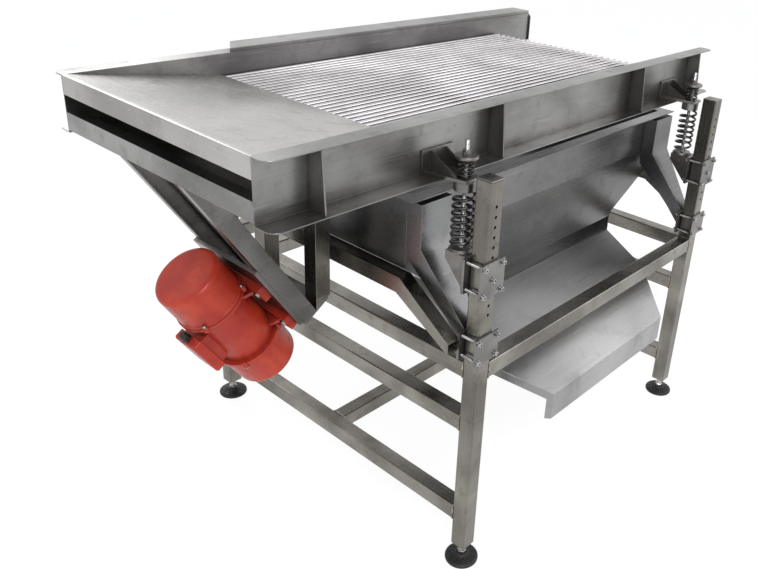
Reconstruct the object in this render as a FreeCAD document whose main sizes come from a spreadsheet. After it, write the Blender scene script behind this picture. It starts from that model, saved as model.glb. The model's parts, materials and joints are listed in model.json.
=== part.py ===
"""Vibrating sieve: a sprung bar deck shaken by one unbalance motor, over a hopper and chute on a tube frame.

Lengths are in millimetres. Positions are given from the deck's left end (x), the deck's centreline (y) and
the floor (z), and every piece is then set off by deck_left and centreline, so that the origin lies on the
floor in the middle of the machine's overall box. Near is -Y, far is +Y.
"""

import FreeCAD, Part
import math
import os

import Sketcher
from FreeCAD import Placement, Rotation, Vector

SIZES = {
    # where the deck lies about the origin
    "deck_left": -993.0,
    "centreline": 16.0,
    # frame
    "tube": 50.0,
    "tube_wall": 3.0,
    "left_leg_x": 546.0,
    "right_leg_x": 1769.0,
    "leg_y": 586.0,
    "leg_bottom": 60.0,
    "leg_top": 1221.0,
    "cap_thick": 4.0,
    "mid_rail_top": 694.0,
    "low_rail_top": 198.0,
    "inner_rail_y": 385.0,
    "chute_rail_top": 519.0,
    "hole_bottom": 850.0,
    "hole_pitch": 27.4,
    "hole_radius": 4.5,
    # levelling feet
    "pad_radius": 50.0,
    "pad_thick": 12.0,
    "stem_radius": 9.0,
    "pad_bevel": 5.0,
    "collar_radius": 16.0,
    "collar_height": 12.0,
    "socket_height": 20.0,
    # clamps on the legs
    "clamp_width": 94.0,
    "upper_clamp_z": 956.0,
    "upper_clamp_height": 98.0,
    "lower_clamp_z": 752.0,
    "lower_clamp_height": 80.0,
    "front_plate": 6.0,
    "back_plate": 8.0,
    "bolt_radius": 4.0,
    "bolt_head": 6.5,
    "head_height": 6.0,
    "bolt_clear": 0.2,
    "bolt_edge": 11.0,
    # springs and their rods
    "spring_y": 506.0,
    "seat_top": 1000.0,
    "seat_thick": 6.0,
    "seat_half": 28.0,
    "cup_radius": 24.0,
    "cup_height": 8.0,
    "rod_radius": 6.0,
    "rod_top": 1297.0,
    "shelf_bottom": 1191.0,
    "shelf_thick": 9.0,
    "boss_radius": 22.0,
    "boss_height": 26.0,
    "rod_clear": 7.0,
    "spring_radius": 20.0,
    "wire": 6.0,
    "top_wire": 5.0,
    "top_spring_radius": 18.0,
    "top_spring_height": 49.0,
    "top_plate_radius": 25.0,
    "top_plate_thick": 8.0,
    "nut_radius": 11.0,
    "nut_height": 14.0,
    "seat_gap": 0.3,
    # deck
    "deck_length": 1995.0,
    "deck_width": 913.0,
    "rim_top": 1343.0,
    "deck_depth": 155.0,
    "rim_flange": 50.0,
    "foot_flange": 62.0,
    "rim_corner": 28.0,
    "sheet": 3.0,
    "rib_thick": 5.0,
    "pan_end_x": 463.0,
    "pan_end_z": 1281.0,
    "pan_ledge": 14.0,
    "pan_lip": 52.0,
    "end_beam_height": 50.0,
    "end_beam_depth": 34.0,
    "end_beam_rise": 7.0,
    "bar_radius": 6.0,
    "bar_pitch": 26.7,
    "bar_z": 1275.0,
    "bars_end_x": 1775.0,
    "cross_bar_height": 40.0,
    "cross_bar_thick": 6.0,
    # guard along the far rim
    "guard_left": 500.0,
    "guard_mitre": 60.0,
    "guard_width": 88.0,
    "guard_rise": 12.0,
    "guard_skirt": 42.0,
    "guard_plate_height": 112.0,
    # spring brackets on the deck's webs
    "bracket_width": 116.0,
    "bracket_height": 62.0,
    "bracket_thick": 6.0,
    "gusset_thick": 5.0,
    "gusset_spread": 30.0,
    "shelf_reach": 26.0,
    # motor mount under the deck's left end
    "mount_angle": 56.0,
    "mount_length": 590.0,
    "mount_depth": 50.0,
    "mount_width": 280.0,
    "mount_web": 5.0,
    "mount_flange": 26.0,
    "base_top": 330.0,
    "base_length": 250.0,
    "base_thick": 12.0,
    # unbalance motor
    "motor_drop": 112.0,
    "motor_middle": 490.0,
    "motor_radius": 84.0,
    "motor_wall": 8.0,
    "stator_length": 196.0,
    "cap_radius": 97.0,
    "cap_length": 112.0,
    "cap_wall": 5.0,
    "cap_bevel": 14.0,
    "flange_radius": 99.0,
    "flange_thick": 9.0,
    "foot_bolt_radius": 6.0,
    "foot_bolt_head": 10.2,
    "foot_head_height": 8.0,
    "foot_bolt_y": 100.0,
    "foot_bolt_pitch": 142.0,
    "foot_thick": 20.0,
    "cheek_root_x": 40.0,
    "cheek_root_y": 60.0,
    "shaft_radius": 14.0,
    "bearing_radius": 32.0,
    "bearing_width": 18.0,
    "bearing_wall": 4.0,
    "run_clear": 0.05,
    "rotor_radius": 50.0,
    "rotor_length": 110.0,
    "air_gap": 0.6,
    "weight_radius": 74.0,
    "weight_thick": 22.0,
    "box_width": 92.0,
    "box_length": 120.0,
    "box_reach": 128.0,
    "gland_radius": 13.0,
    "gland_bore": 6.5,
    "gland_length": 26.0,
    # hopper, chute and what carries them
    "hopper_left": 500.0,
    "hopper_right": 1815.0,
    "hopper_half": 370.0,
    "hopper_top": 1120.0,
    "hopper_flange": 40.0,
    "end_fold": 900.0,
    "near_fold": 980.0,
    "panel_bottom": 735.0,
    "panel_foot_y": 330.0,
    "trough_left": 695.0,
    "trough_right": 1620.0,
    "trough_fold": 752.0,
    "chute_angle": 28.6,
    "lip_y": 668.0,
    "lip_z": 495.0,
    "lip_depth": 92.0,
    "lip_left": 825.0,
    "lip_right": 1484.0,
    "lip_hem": 16.0,
    "chute_taper_y": 500.0,
    "chute_flange": 28.0,
    "chute_lap": 130.0,
    "arm_top": 1110.0,
    "arm_depth": 50.0,
    "arm_half": 58.0,
    "arm_fold": 984.0,
    "arm_sheet": 4.0,
    "yoke_depth": 48.0,
    "yoke_width": 45.0,
    "yoke_off": 38.0,
    "yoke_end_half": 16.0,
}

BARS = 30
LEG_HOLES = 12
RIB_PLACES = (140.0, 750.0, 1495.0, 1900.0)
CROSS_BAR_PLACES = (480.0, 905.0, 1330.0, 1755.0)
NEAR, FAR = -1, 1
HOLE_SIDES = 6
ROD_SIDES = 10
PAD_SIDES = 24
DRUM_SIDES = 32

doc = FreeCAD.newDocument("vibrating_sieve")
parts = []


# ---- sizes that carry their own sheet expression -------------------------------------------------


class Size:
    """A number together with the sheet expression that gives it."""

    def __init__(self, value, text):
        self.value = value
        self.text = text

    def __add__(self, other):
        other = size(other)
        return Size(self.value + other.value, f"({self.text} + {other.text})")

    def __sub__(self, other):
        other = size(other)
        return Size(self.value - other.value, f"({self.text} - {other.text})")

    def __mul__(self, other):
        other = size(other)
        return Size(self.value * other.value, f"({self.text} * {other.text})")

    def __truediv__(self, other):
        other = size(other)
        return Size(self.value / other.value, f"({self.text} / {other.text})")

    def __radd__(self, other):
        return size(other) + self

    def __rsub__(self, other):
        return size(other) - self

    def __rmul__(self, other):
        return size(other) * self

    def __neg__(self):
        return size(0.0) - self


def size(number):
    return number if isinstance(number, Size) else Size(float(number), f"({float(number)})")


def sine(angle):
    return Size(math.sin(math.radians(angle.value)), f"sin({angle.text})")


def cosine(angle):
    return Size(math.cos(math.radians(angle.value)), f"cos({angle.text})")


def tangent(angle):
    return sine(angle) / cosine(angle)


class Sheet:
    """The spreadsheet: each driving size is read as an attribute."""

    def __init__(self, values):
        sheet = doc.addObject("Spreadsheet::Sheet", "Sizes")
        for row, (name, value) in enumerate(values.items(), 1):
            sheet.set(f"A{row}", name.replace("_", " "))
            sheet.set(f"B{row}", str(value))
            sheet.setAlias(f"B{row}", name)
            setattr(self, name, Size(value, f"Sizes.{name}"))


S = Sheet(SIZES)
doc.recompute()


def bind(thing, prop, value):
    """Ties a property to the sheet."""
    value = size(value)
    if "Sizes." in value.text:
        thing.setExpression(prop, value.text)
    else:
        thing.setExpression(prop, None)
        target = thing
        *path, last = prop.split(".")
        if path:
            placement = getattr(target, path[0])
            base = placement.Base
            setattr(base, last, value.value)
            placement.Base = base
            setattr(target, path[0], placement)
        else:
            setattr(target, last, value.value)


# ---- sketches and features -----------------------------------------------------------------------


class Ring:
    """A circle in a sketch."""

    def __init__(self, across, up, radius):
        self.centre = (size(across), size(up))
        self.radius = size(radius)


def square(across, up, half, half_up=None):
    half_up = half if half_up is None else half_up
    return [
        (across - half, up - half_up),
        (across + half, up - half_up),
        (across + half, up + half_up),
        (across - half, up + half_up),
    ]


def polygon(across, up, radius, sides):
    """Regular outline, for hexagons and for rounds that repeat too often to be true circles."""
    turns = [2 * math.pi * number / sides for number in range(sides)]
    return [(across + radius * math.cos(turn), up + radius * math.sin(turn)) for turn in turns]


def drum(radius):
    """Outline of a large round on a body's own axis."""
    return polygon(0.0, 0.0, radius, DRUM_SIDES)


def hold(sketch, geometry, point, across, up):
    """Holds one point of a sketch at its distances from the sketch's origin."""
    for kind, value in (("DistanceX", size(across)), ("DistanceY", size(up))):
        index = sketch.addConstraint(Sketcher.Constraint(kind, -1, 1, geometry, point, value.value))
        if "Sizes." in value.text:
            sketch.setExpression(f"Constraints[{index}]", value.text)


def outline(body, plane, loops, level=0.0):
    """Sketch of closed loops on one of the body's origin planes, moved along that plane's normal."""
    sketch = body.newObject("Sketcher::SketchObject", f"{body.Name}_outline")
    origin_plane = [f for f in body.Origin.OriginFeatures if f.Role == f"{plane}_Plane"][0]
    sketch.AttachmentSupport = [(origin_plane, "")]
    sketch.MapMode = "FlatFace"
    bind(sketch, "AttachmentOffset.Base.z", level)
    for loop in loops:
        first = sketch.GeometryCount
        if isinstance(loop, Ring):
            across, up = loop.centre
            centre = Vector(across.value, up.value, 0)
            sketch.addGeometry(Part.Circle(centre, Vector(0, 0, 1), loop.radius.value), False)
            hold(sketch, first, 3, across, up)
            index = sketch.addConstraint(Sketcher.Constraint("Radius", first, loop.radius.value))
            if "Sizes." in loop.radius.text:
                sketch.setExpression(f"Constraints[{index}]", loop.radius.text)
            continue
        corners = [Vector(size(a).value, size(u).value, 0) for a, u in loop]
        for start, end in zip(corners, corners[1:] + corners[:1]):
            sketch.addGeometry(Part.LineSegment(start, end), False)
        count = len(corners)
        for side in range(count):
            after = first + (side + 1) % count
            sketch.addConstraint(Sketcher.Constraint("Coincident", first + side, 2, after, 1))
        for side, (across, up) in enumerate(loop):
            hold(sketch, first + side, 1, across, up)
    return sketch


def new_body(name):
    body = doc.addObject("PartDesign::Body", name)
    body.Label = name
    return body


def pad(body, plane, loops, start, end):
    """Pad of the loops between two levels along the plane's axis (X for YZ, Y for XZ, Z for XY)."""
    level = -size(end) if plane == "XZ" else start
    feature = body.newObject("PartDesign::Pad", f"{body.Name}_pad")
    feature.Profile = outline(body, plane, loops, level)
    bind(feature, "Length", size(end) - start)
    doc.recompute()
    return feature


def pocket(body, plane, loops, start, end):
    """Pocket of the loops between two levels along the plane's axis; it has to take some metal away."""
    before = body.Shape.Volume
    level = -size(start) if plane == "XZ" else end
    feature = body.newObject("PartDesign::Pocket", f"{body.Name}_pocket")
    feature.Profile = outline(body, plane, loops, level)
    bind(feature, "Length", size(end) - start)
    doc.recompute()
    if not body.Shape.Volume < before:
        raise RuntimeError(f"{body.Label}: the pocket cuts nothing")
    return feature


def revolve(body, points):
    """Full turn of an XZ outline about the body's own Z axis."""
    sketch = outline(body, "XZ", [points])
    feature = body.newObject("PartDesign::Revolution", f"{body.Name}_turned")
    feature.Profile = sketch
    feature.ReferenceAxis = (sketch, ["V_Axis"])
    feature.Angle = 360.0
    doc.recompute()
    return feature


def repeat(body, feature, direction, pitch, count):
    """Linear pattern of a feature along one axis of its own sketch."""
    pattern = body.newObject("PartDesign::LinearPattern", f"{body.Name}_row")
    pattern.Originals = [feature]
    pattern.Direction = (feature.Profile[0], [direction])
    bind(pattern, "Length", pitch * (count - 1))
    pattern.Occurrences = count
    body.Tip = pattern
    doc.recompute()
    return pattern


def picked(feature, chosen):
    return [f"Edge{number}" for number, edge in enumerate(feature.Shape.Edges, 1) if chosen(edge)]


def round_edges(body, feature, radius, chosen):
    """Fillet of the edges that the test picks."""
    fillet = body.newObject("PartDesign::Fillet", f"{body.Name}_round")
    fillet.Base = (feature, picked(feature, chosen))
    bind(fillet, "Radius", radius)
    doc.recompute()


def bevel_rim(body, feature, width, level):
    """Chamfer round the flat end that lies at one height."""

    def at_level(edge):
        box = edge.BoundBox
        return box.ZLength < 1e-6 and abs(box.ZMin - size(level).value) < 1e-3

    chamfer = body.newObject("PartDesign::Chamfer", f"{body.Name}_bevel")
    chamfer.Base = (feature, picked(feature, at_level))
    bind(chamfer, "Size", width)
    doc.recompute()


def move(thing, x=0.0, y=0.0, z=0.0, tilt=None):
    """Places an object; tilt is its turn about +Y."""
    if tilt is not None:
        thing.Placement = Placement(Vector(), Rotation(Vector(0, -1, 0), -tilt.value))
        bind(thing, "Placement.Rotation.Angle", -tilt)
    for letter, value in (("x", x), ("y", y), ("z", z)):
        bind(thing, f"Placement.Base.{letter}", value)
    return thing


def join(name, pieces):
    fused = doc.addObject("Part::MultiFuse", name)
    fused.Label = name
    fused.Shapes = pieces
    fused.Refine = True
    return fused


def overlap(name, first, second):
    common = doc.addObject("Part::Common", name)
    common.Base = first
    common.Tool = second
    return common


def hollow(name, outer, inner):
    cut = doc.addObject("Part::Cut", name)
    cut.Base = outer
    cut.Tool = inner
    cut.Label = name
    return cut


def group(name, pieces):
    """Separate solids that share one node."""
    compound = doc.addObject("Part::Compound", name)
    compound.Label = name
    compound.Links = pieces
    return compound


def round_room(name, radius, bottom, top):
    """Upright cylinder between two heights, used to cut a round room."""
    cylinder = doc.addObject("Part::Cylinder", name)
    bind(cylinder, "Radius", radius)
    bind(cylinder, "Height", size(top) - bottom)
    return move(cylinder, z=bottom)


def rod(name, radius, length):
    """Slender upright bar with many flats."""
    prism = doc.addObject("Part::Prism", name)
    prism.Label = name
    prism.Polygon = ROD_SIDES
    bind(prism, "Circumradius", radius)
    bind(prism, "Height", length)
    return prism


def part(thing, x=0.0, y=0.0, z=0.0, tilt=None):
    """Sets a finished sub-part off from the deck's left end, centreline and the floor, and keeps it."""
    move(thing, S.deck_left + x, S.centreline + y, z, tilt)
    parts.append(thing)
    return thing


def two_view_shell(name, side_outer, side_inner, front_outer, front_inner, left, right, near, far):
    """Folded sheet box: the solid common to a YZ and an XZ outline, less the same one set inwards."""
    shells = []
    for layer, side, front in (("outer", side_outer, front_outer), ("inner", side_inner, front_inner)):
        across = new_body(f"{name}_{layer}_side")
        pad(across, "YZ", [side], left, right)
        along = new_body(f"{name}_{layer}_front")
        pad(along, "XZ", [front], near, far)
        shells.append(overlap(f"{name}_{layer}", across, along))
    return hollow(name, *shells)


# ---- places used by more than one piece ------------------------------------------------------------

half_tube = S.tube / 2
web_y = S.deck_width / 2 - S.rim_flange
web_inside = web_y - S.sheet
deck_bottom = S.rim_top - S.deck_depth
post_out = S.leg_y + half_tube
post_in = S.leg_y - half_tube
arm_end_y = post_in - S.back_plate
mount_run = cosine(S.mount_angle)
mount_fall = sine(S.mount_angle)
mount_top = deck_bottom + S.end_beam_rise
slope = tangent(S.chute_angle)
CORNERS = (
    ("near_left", NEAR, S.left_leg_x),
    ("near_right", NEAR, S.right_leg_x),
    ("far_left", FAR, S.left_leg_x),
    ("far_right", FAR, S.right_leg_x),
)
ENDS = (("left", -1, S.left_leg_x), ("right", 1, S.right_leg_x))


def chute_z(y):
    """Height of the sloping floor's top face at a given y."""
    return S.lip_z + (y + S.lip_y) * slope


def between(first, second):
    """The two levels in rising order."""
    return (first, second) if size(first).value < size(second).value else (second, first)


# ---- frame -----------------------------------------------------------------------------------------


def make_leg(corner, side, x):
    leg = new_body(f"{corner}_leg")
    y = side * S.leg_y
    walls = [square(x, y, half_tube), square(x, y, half_tube - S.tube_wall)]
    pad(leg, "XY", walls, S.leg_bottom, S.leg_top - S.cap_thick)
    face = between(side * (post_out + 1), side * (post_out - S.tube_wall - 1))
    hole = pocket(leg, "XZ", [polygon(x, S.hole_bottom, S.hole_radius, HOLE_SIDES)], *face)
    repeat(leg, hole, "V_Axis", S.hole_pitch, LEG_HOLES)
    return part(leg)


def make_leg_ends():
    """Top caps, and the threaded plugs in the leg bottoms that take the levelling stems."""
    caps = []
    plugs = []
    for corner, side, x in CORNERS:
        y = side * S.leg_y
        cap = new_body(f"{corner}_cap")
        pad(cap, "XY", [square(x, y, half_tube)], S.leg_top - S.cap_thick, S.leg_top)
        caps.append(cap)
        plug = new_body(f"{corner}_plug")
        bore = polygon(x, y, S.stem_radius + S.run_clear, ROD_SIDES)
        outside = square(x, y, half_tube - S.tube_wall)
        pad(plug, "XY", [outside, bore], S.leg_bottom, S.leg_bottom + S.socket_height)
        plugs.append(plug)
    part(group("leg_caps", caps))
    part(group("leg_plugs", plugs))


def make_rail(name, direction, first, last, across, top):
    """Square tube along X or Y, between two levels, at one place across and with its top at one height."""
    rail = new_body(name)
    plane = "YZ" if direction == "X" else "XZ"
    middle = top - half_tube
    walls = [square(across, middle, half_tube), square(across, middle, half_tube - S.tube_wall)]
    pad(rail, plane, walls, first, last)
    return rail


def make_rails():
    left, right = S.left_leg_x, S.right_leg_x
    inner = (left + half_tube, right - half_tube)
    across = (-post_in, post_in)
    part(make_rail("near_mid_rail", "X", *inner, -S.leg_y, S.mid_rail_top))
    part(make_rail("far_mid_rail", "X", *inner, S.leg_y, S.mid_rail_top))
    part(make_rail("inner_mid_rail", "X", *inner, S.inner_rail_y, S.mid_rail_top))
    part(make_rail("left_mid_rail", "Y", *across, left, S.mid_rail_top))
    part(make_rail("right_mid_rail", "Y", *across, right, S.mid_rail_top))
    low_rails = [
        make_rail("left_low_rail", "Y", *across, left, S.low_rail_top),
        make_rail("right_low_rail", "Y", *across, right, S.low_rail_top),
        make_rail("cross_low_rail", "X", *inner, 0.0, S.low_rail_top),
    ]
    part(group("low_rails", low_rails))
    chute_rails = [
        make_rail(f"{end}_chute_rail", "Y", *across, x, S.chute_rail_top) for end, _, x in ENDS
    ]
    part(group("chute_rails", chute_rails))


def make_foot(corner, side, x):
    """Round pad with a bevelled rim, a hexagon collar and a plain stem that runs in the leg's plug."""
    collar_top = S.pad_thick + S.collar_height
    stem_top = S.leg_bottom + S.socket_height
    foot = new_body(f"{corner}_foot")
    disc = pad(foot, "XY", [polygon(0.0, 0.0, S.pad_radius, PAD_SIDES)], 0.0, S.pad_thick)
    bevel_rim(foot, disc, S.pad_bevel, S.pad_thick)
    pad(foot, "XY", [polygon(0.0, 0.0, S.collar_radius, 6)], S.pad_thick, collar_top)
    pad(foot, "XY", [polygon(0.0, 0.0, S.stem_radius, ROD_SIDES)], collar_top, stem_top)
    return part(foot, x, side * S.leg_y)


# ---- clamps, bolts and spring seats ------------------------------------------------------------------


def bolt_places(x, z, height):
    across = S.clamp_width / 2 - S.bolt_edge
    up = height / 2 - S.bolt_edge
    return [(x + i * across, z + k * up) for i in (-1, 1) for k in (-1, 1)]


def clamp_plate(name, x, z, height, levels):
    plate = new_body(name)
    edge = square(x, z, S.clamp_width / 2, height / 2)
    reach = S.bolt_radius + S.bolt_clear
    holes = [polygon(a, u, reach, HOLE_SIDES) for a, u in bolt_places(x, z, height)]
    pad(plate, "XZ", [edge, *holes], *levels)
    return plate


def make_upper_clamp(corner, side, x):
    """Two plates either side of the leg; the inner one carries the spring seat on two tapered gussets."""
    z, height = S.upper_clamp_z, S.upper_clamp_height
    front_levels = between(side * post_out, side * (post_out + S.front_plate))
    back_levels = between(side * post_in, side * arm_end_y)
    front = clamp_plate(f"{corner}_clamp_front", x, z, height, front_levels)
    back = clamp_plate(f"{corner}_clamp_back", x, z, height, back_levels)
    seat_inner = S.spring_y - S.seat_half
    seat_bottom = S.seat_top - S.seat_thick
    shelf = new_body(f"{corner}_seat_shelf")
    shelf_y = between(side * seat_inner, side * arm_end_y)
    corners = [
        (x - S.seat_half, shelf_y[0]),
        (x + S.seat_half, shelf_y[0]),
        (x + S.seat_half, shelf_y[1]),
        (x - S.seat_half, shelf_y[1]),
    ]
    pad(shelf, "XY", [corners], seat_bottom, S.seat_top)
    foot_z = z - height / 2
    gussets = []
    for hand in (-1, 1):
        gusset = new_body(f"{corner}_seat_gusset")
        profile = [
            (side * arm_end_y, foot_z),
            (side * arm_end_y, seat_bottom),
            (side * seat_inner, seat_bottom),
            (side * seat_inner, seat_bottom - 18),
            (side * (arm_end_y - 12), foot_z),
        ]
        outer = x + hand * S.seat_half
        pad(gusset, "YZ", [profile], *between(outer, outer - hand * S.gusset_thick))
        gussets.append(gusset)
    bracket = join(f"{corner}_seat_bracket", [back, shelf, *gussets])
    return part(group(f"{corner}_upper_clamp", [front, bracket]))


def make_lower_clamps():
    plates = []
    z, height = S.lower_clamp_z, S.lower_clamp_height
    for corner, side, x in CORNERS:
        front_levels = between(side * post_out, side * (post_out + S.front_plate))
        back_levels = between(side * post_in, side * arm_end_y)
        plates.append(clamp_plate(f"{corner}_lower_front", x, z, height, front_levels))
        plates.append(clamp_plate(f"{corner}_lower_back", x, z, height, back_levels))
    part(group("lower_clamps", plates))


def make_bolt(name, x, side, z):
    """Hexagon screw through the outer plate and into the inner one."""
    head = post_out + S.front_plate
    hexagon = polygon(x, z, S.bolt_head, 6)
    bolt = new_body(name)
    pad(bolt, "XZ", [polygon(x, z, S.bolt_radius, HOLE_SIDES)], *between(side * arm_end_y, side * head))
    pad(bolt, "XZ", [hexagon], *between(side * head, side * (head + S.head_height)))
    return bolt


def make_clamp_bolts():
    bolts = []
    for corner, side, x in CORNERS:
        upper = bolt_places(x, S.upper_clamp_z, S.upper_clamp_height)
        lower = bolt_places(x, S.lower_clamp_z, S.lower_clamp_height)
        for a, u in upper + lower:
            bolts.append(make_bolt(f"{corner}_bolt", a, side, u))
    part(group("clamp_bolts", bolts))


def make_spring_cups():
    """Cups that centre the main springs, each with the rod that stands in it."""
    rods = []
    cups = []
    for corner, side, x in CORNERS:
        y = side * S.spring_y
        cup = new_body(f"{corner}_cup")
        ring = [polygon(x, y, radius, ROD_SIDES) for radius in (S.cup_radius, S.rod_radius + S.bolt_clear)]
        pad(cup, "XY", ring, S.seat_top, S.seat_top + S.cup_height)
        cups.append(cup)
        stem = rod(f"{corner}_rod", S.rod_radius, S.rod_top - S.seat_top)
        rods.append(move(stem, x, y, S.seat_top))
    part(group("spring_cups", cups))
    part(group("spring_rods", rods))


shelf_top = S.shelf_bottom + S.shelf_thick
boss_bottom = S.shelf_bottom - S.boss_height
top_plate_z = shelf_top + S.top_spring_height


def make_top_plates():
    """Round plate and nut that hold the top spring down on its rod."""
    plates = []
    for corner, side, x in CORNERS:
        y = side * S.spring_y
        plate = new_body(f"{corner}_top_plate")
        hole = polygon(x, y, S.rod_radius + S.bolt_clear, ROD_SIDES)
        disc = polygon(x, y, S.top_plate_radius, ROD_SIDES)
        nut = polygon(x, y, S.nut_radius, 6)
        nut_bottom = top_plate_z + S.top_plate_thick
        pad(plate, "XY", [disc, hole], top_plate_z, nut_bottom)
        pad(plate, "XY", [nut, hole], nut_bottom, nut_bottom + S.nut_height)
        plates.append(plate)
    part(group("top_plates", plates))


def make_springs():
    """Coil springs as plain sleeves of their wire's thickness."""
    main = []
    top = []
    main_levels = (S.seat_top + S.cup_height + S.seat_gap, boss_bottom - S.seat_gap)
    top_levels = (shelf_top + S.seat_gap, top_plate_z - S.seat_gap)
    for corner, side, x in CORNERS:
        y = side * S.spring_y
        lower = new_body(f"{corner}_main_spring")
        walls = [polygon(x, y, radius, ROD_SIDES) for radius in (S.spring_radius, S.spring_radius - S.wire)]
        pad(lower, "XY", walls, *main_levels)
        main.append(lower)
        upper = new_body(f"{corner}_top_spring")
        inner = S.top_spring_radius - S.top_wire
        walls = [polygon(x, y, radius, ROD_SIDES) for radius in (S.top_spring_radius, inner)]
        pad(upper, "XY", walls, *top_levels)
        top.append(upper)
    part(group("main_springs", main))
    part(group("top_springs", top))


# ---- deck ----------------------------------------------------------------------------------------------


def make_side_channel(name, side):
    """Folded channel, open outwards: narrow rim flange on top, wider flange below."""
    rim = side * (web_y + S.rim_flange)
    foot = side * (web_y + S.foot_flange)
    profile = [
        (rim, S.rim_top),
        (side * web_inside, S.rim_top),
        (side * web_inside, deck_bottom),
        (foot, deck_bottom),
        (foot, deck_bottom + S.sheet),
        (side * web_y, deck_bottom + S.sheet),
        (side * web_y, S.rim_top - S.sheet),
        (rim, S.rim_top - S.sheet),
    ]
    channel = new_body(name)
    feature = pad(channel, "YZ", [profile], 0.0, S.deck_length)

    def tips(edge):
        box = edge.BoundBox
        upright = box.XLength < 1e-6 and box.YLength < 1e-6
        outside = abs(box.YMin) > (web_y + 1).value
        return upright and outside

    round_edges(channel, feature, S.rim_corner, tips)
    return part(channel)


def make_ribs():
    ribs = []
    for side in (NEAR, FAR):
        for x in RIB_PLACES:
            rib = new_body("deck_rib")
            profile = [
                (side * web_y, deck_bottom + S.sheet),
                (side * (web_y + S.foot_flange - 6), deck_bottom + S.sheet),
                (side * (web_y + S.rim_flange - 5), S.rim_top - S.sheet),
                (side * web_y, S.rim_top - S.sheet),
            ]
            pad(rib, "YZ", [profile], x, x + S.rib_thick)
            ribs.append(rib)
    return part(group("deck_ribs", ribs))


def make_infeed_pan():
    """Sheet that slopes from the left rim down to the bars, with its left edge turned down."""
    pan = new_body("infeed_pan")
    lip_bottom = S.rim_top - S.pan_lip
    profile = [
        (0.0, lip_bottom),
        (S.sheet, lip_bottom),
        (S.sheet, S.rim_top - S.sheet),
        (S.pan_ledge, S.rim_top - S.sheet),
        (S.pan_end_x, S.pan_end_z - S.sheet),
        (S.pan_end_x, S.pan_end_z),
        (S.pan_ledge, S.rim_top),
        (0.0, S.rim_top),
    ]
    pad(pan, "XZ", [profile], -web_inside, web_inside)
    return part(pan)


def make_cross_members():
    """End channel at the left, the tube over the motor struts, and the flats under the bars."""
    beam = new_body("end_beam")
    bottom = mount_top
    top = bottom + S.end_beam_height
    profile = [
        (0.0, bottom),
        (S.end_beam_depth, bottom),
        (S.end_beam_depth, bottom + S.sheet),
        (S.sheet, bottom + S.sheet),
        (S.sheet, top - S.sheet),
        (S.end_beam_depth, top - S.sheet),
        (S.end_beam_depth, top),
        (0.0, top),
    ]
    pad(beam, "XZ", [profile], -web_inside, web_inside)
    part(beam)
    strut_tube = new_body("strut_beam")
    middle = deck_bottom + half_tube
    walls = [square(strut_x, middle, half_tube), square(strut_x, middle, half_tube - S.tube_wall)]
    pad(strut_tube, "XZ", walls, -web_inside, web_inside)
    part(strut_tube)
    flats = []
    top = S.bar_z - S.bar_radius
    for x in CROSS_BAR_PLACES:
        flat = new_body("cross_flat")
        section = square(size(x), top - S.cross_bar_height / 2, S.cross_bar_thick / 2, S.cross_bar_height / 2)
        pad(flat, "XZ", [section], -web_inside, web_inside)
        flats.append(flat)
    part(group("cross_bars", flats))


def make_grate_bars():
    bars = []
    start = S.pan_end_x + S.seat_gap
    for number in range(BARS):
        bar = rod("grate_bar", S.bar_radius, S.bars_end_x - start)
        bar.Placement = Placement(Vector(), Rotation(Vector(0, 1, 0), 90))
        move(bar, start, (number - (BARS - 1) / 2) * S.bar_pitch, S.bar_z)
        bars.append(bar)
    return part(group("grate_bars", bars))


def make_far_guard():
    """Folded cover over the far rim, mitred at its left end, and the plate that closes its right end."""
    top = S.rim_top + S.guard_rise
    outer = web_y + S.guard_width
    profile = [
        (web_y, S.rim_top),
        (web_y, top),
        (outer, top),
        (outer, top - S.guard_skirt),
        (outer - S.sheet, top - S.guard_skirt),
        (outer - S.sheet, top - S.sheet),
        (web_y + S.sheet, top - S.sheet),
        (web_y + S.sheet, S.rim_top),
    ]
    guard = new_body("far_guard")
    pad(guard, "YZ", [profile], S.guard_left, S.deck_length)
    mitre = [
        (S.guard_left - 1, web_y - 1),
        (S.guard_left, web_y - 1),
        (S.guard_left + S.guard_mitre, outer + 1),
        (S.guard_left - 1, outer + 1),
    ]
    pocket(guard, "XY", [mitre], S.rim_top - S.guard_skirt, top + 1)
    part(guard)
    plate = new_body("guard_end_plate")
    inner = web_inside - 8
    edge = [
        (inner, S.rim_top - S.guard_plate_height),
        (outer - 8, S.rim_top - S.guard_plate_height),
        (outer - 8, S.rim_top),
        (inner, S.rim_top),
    ]
    feature = pad(plate, "YZ", [edge], S.deck_length, S.deck_length + S.sheet)

    def top_inner(edge_):
        box = edge_.BoundBox
        along_x = box.YLength < 1e-6 and box.ZLength < 1e-6
        return along_x and abs(box.YMin - inner.value) < 1e-3 and abs(box.ZMin - S.rim_top.value) < 1e-3

    round_edges(plate, feature, 18.0, top_inner)
    return part(plate)


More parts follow.
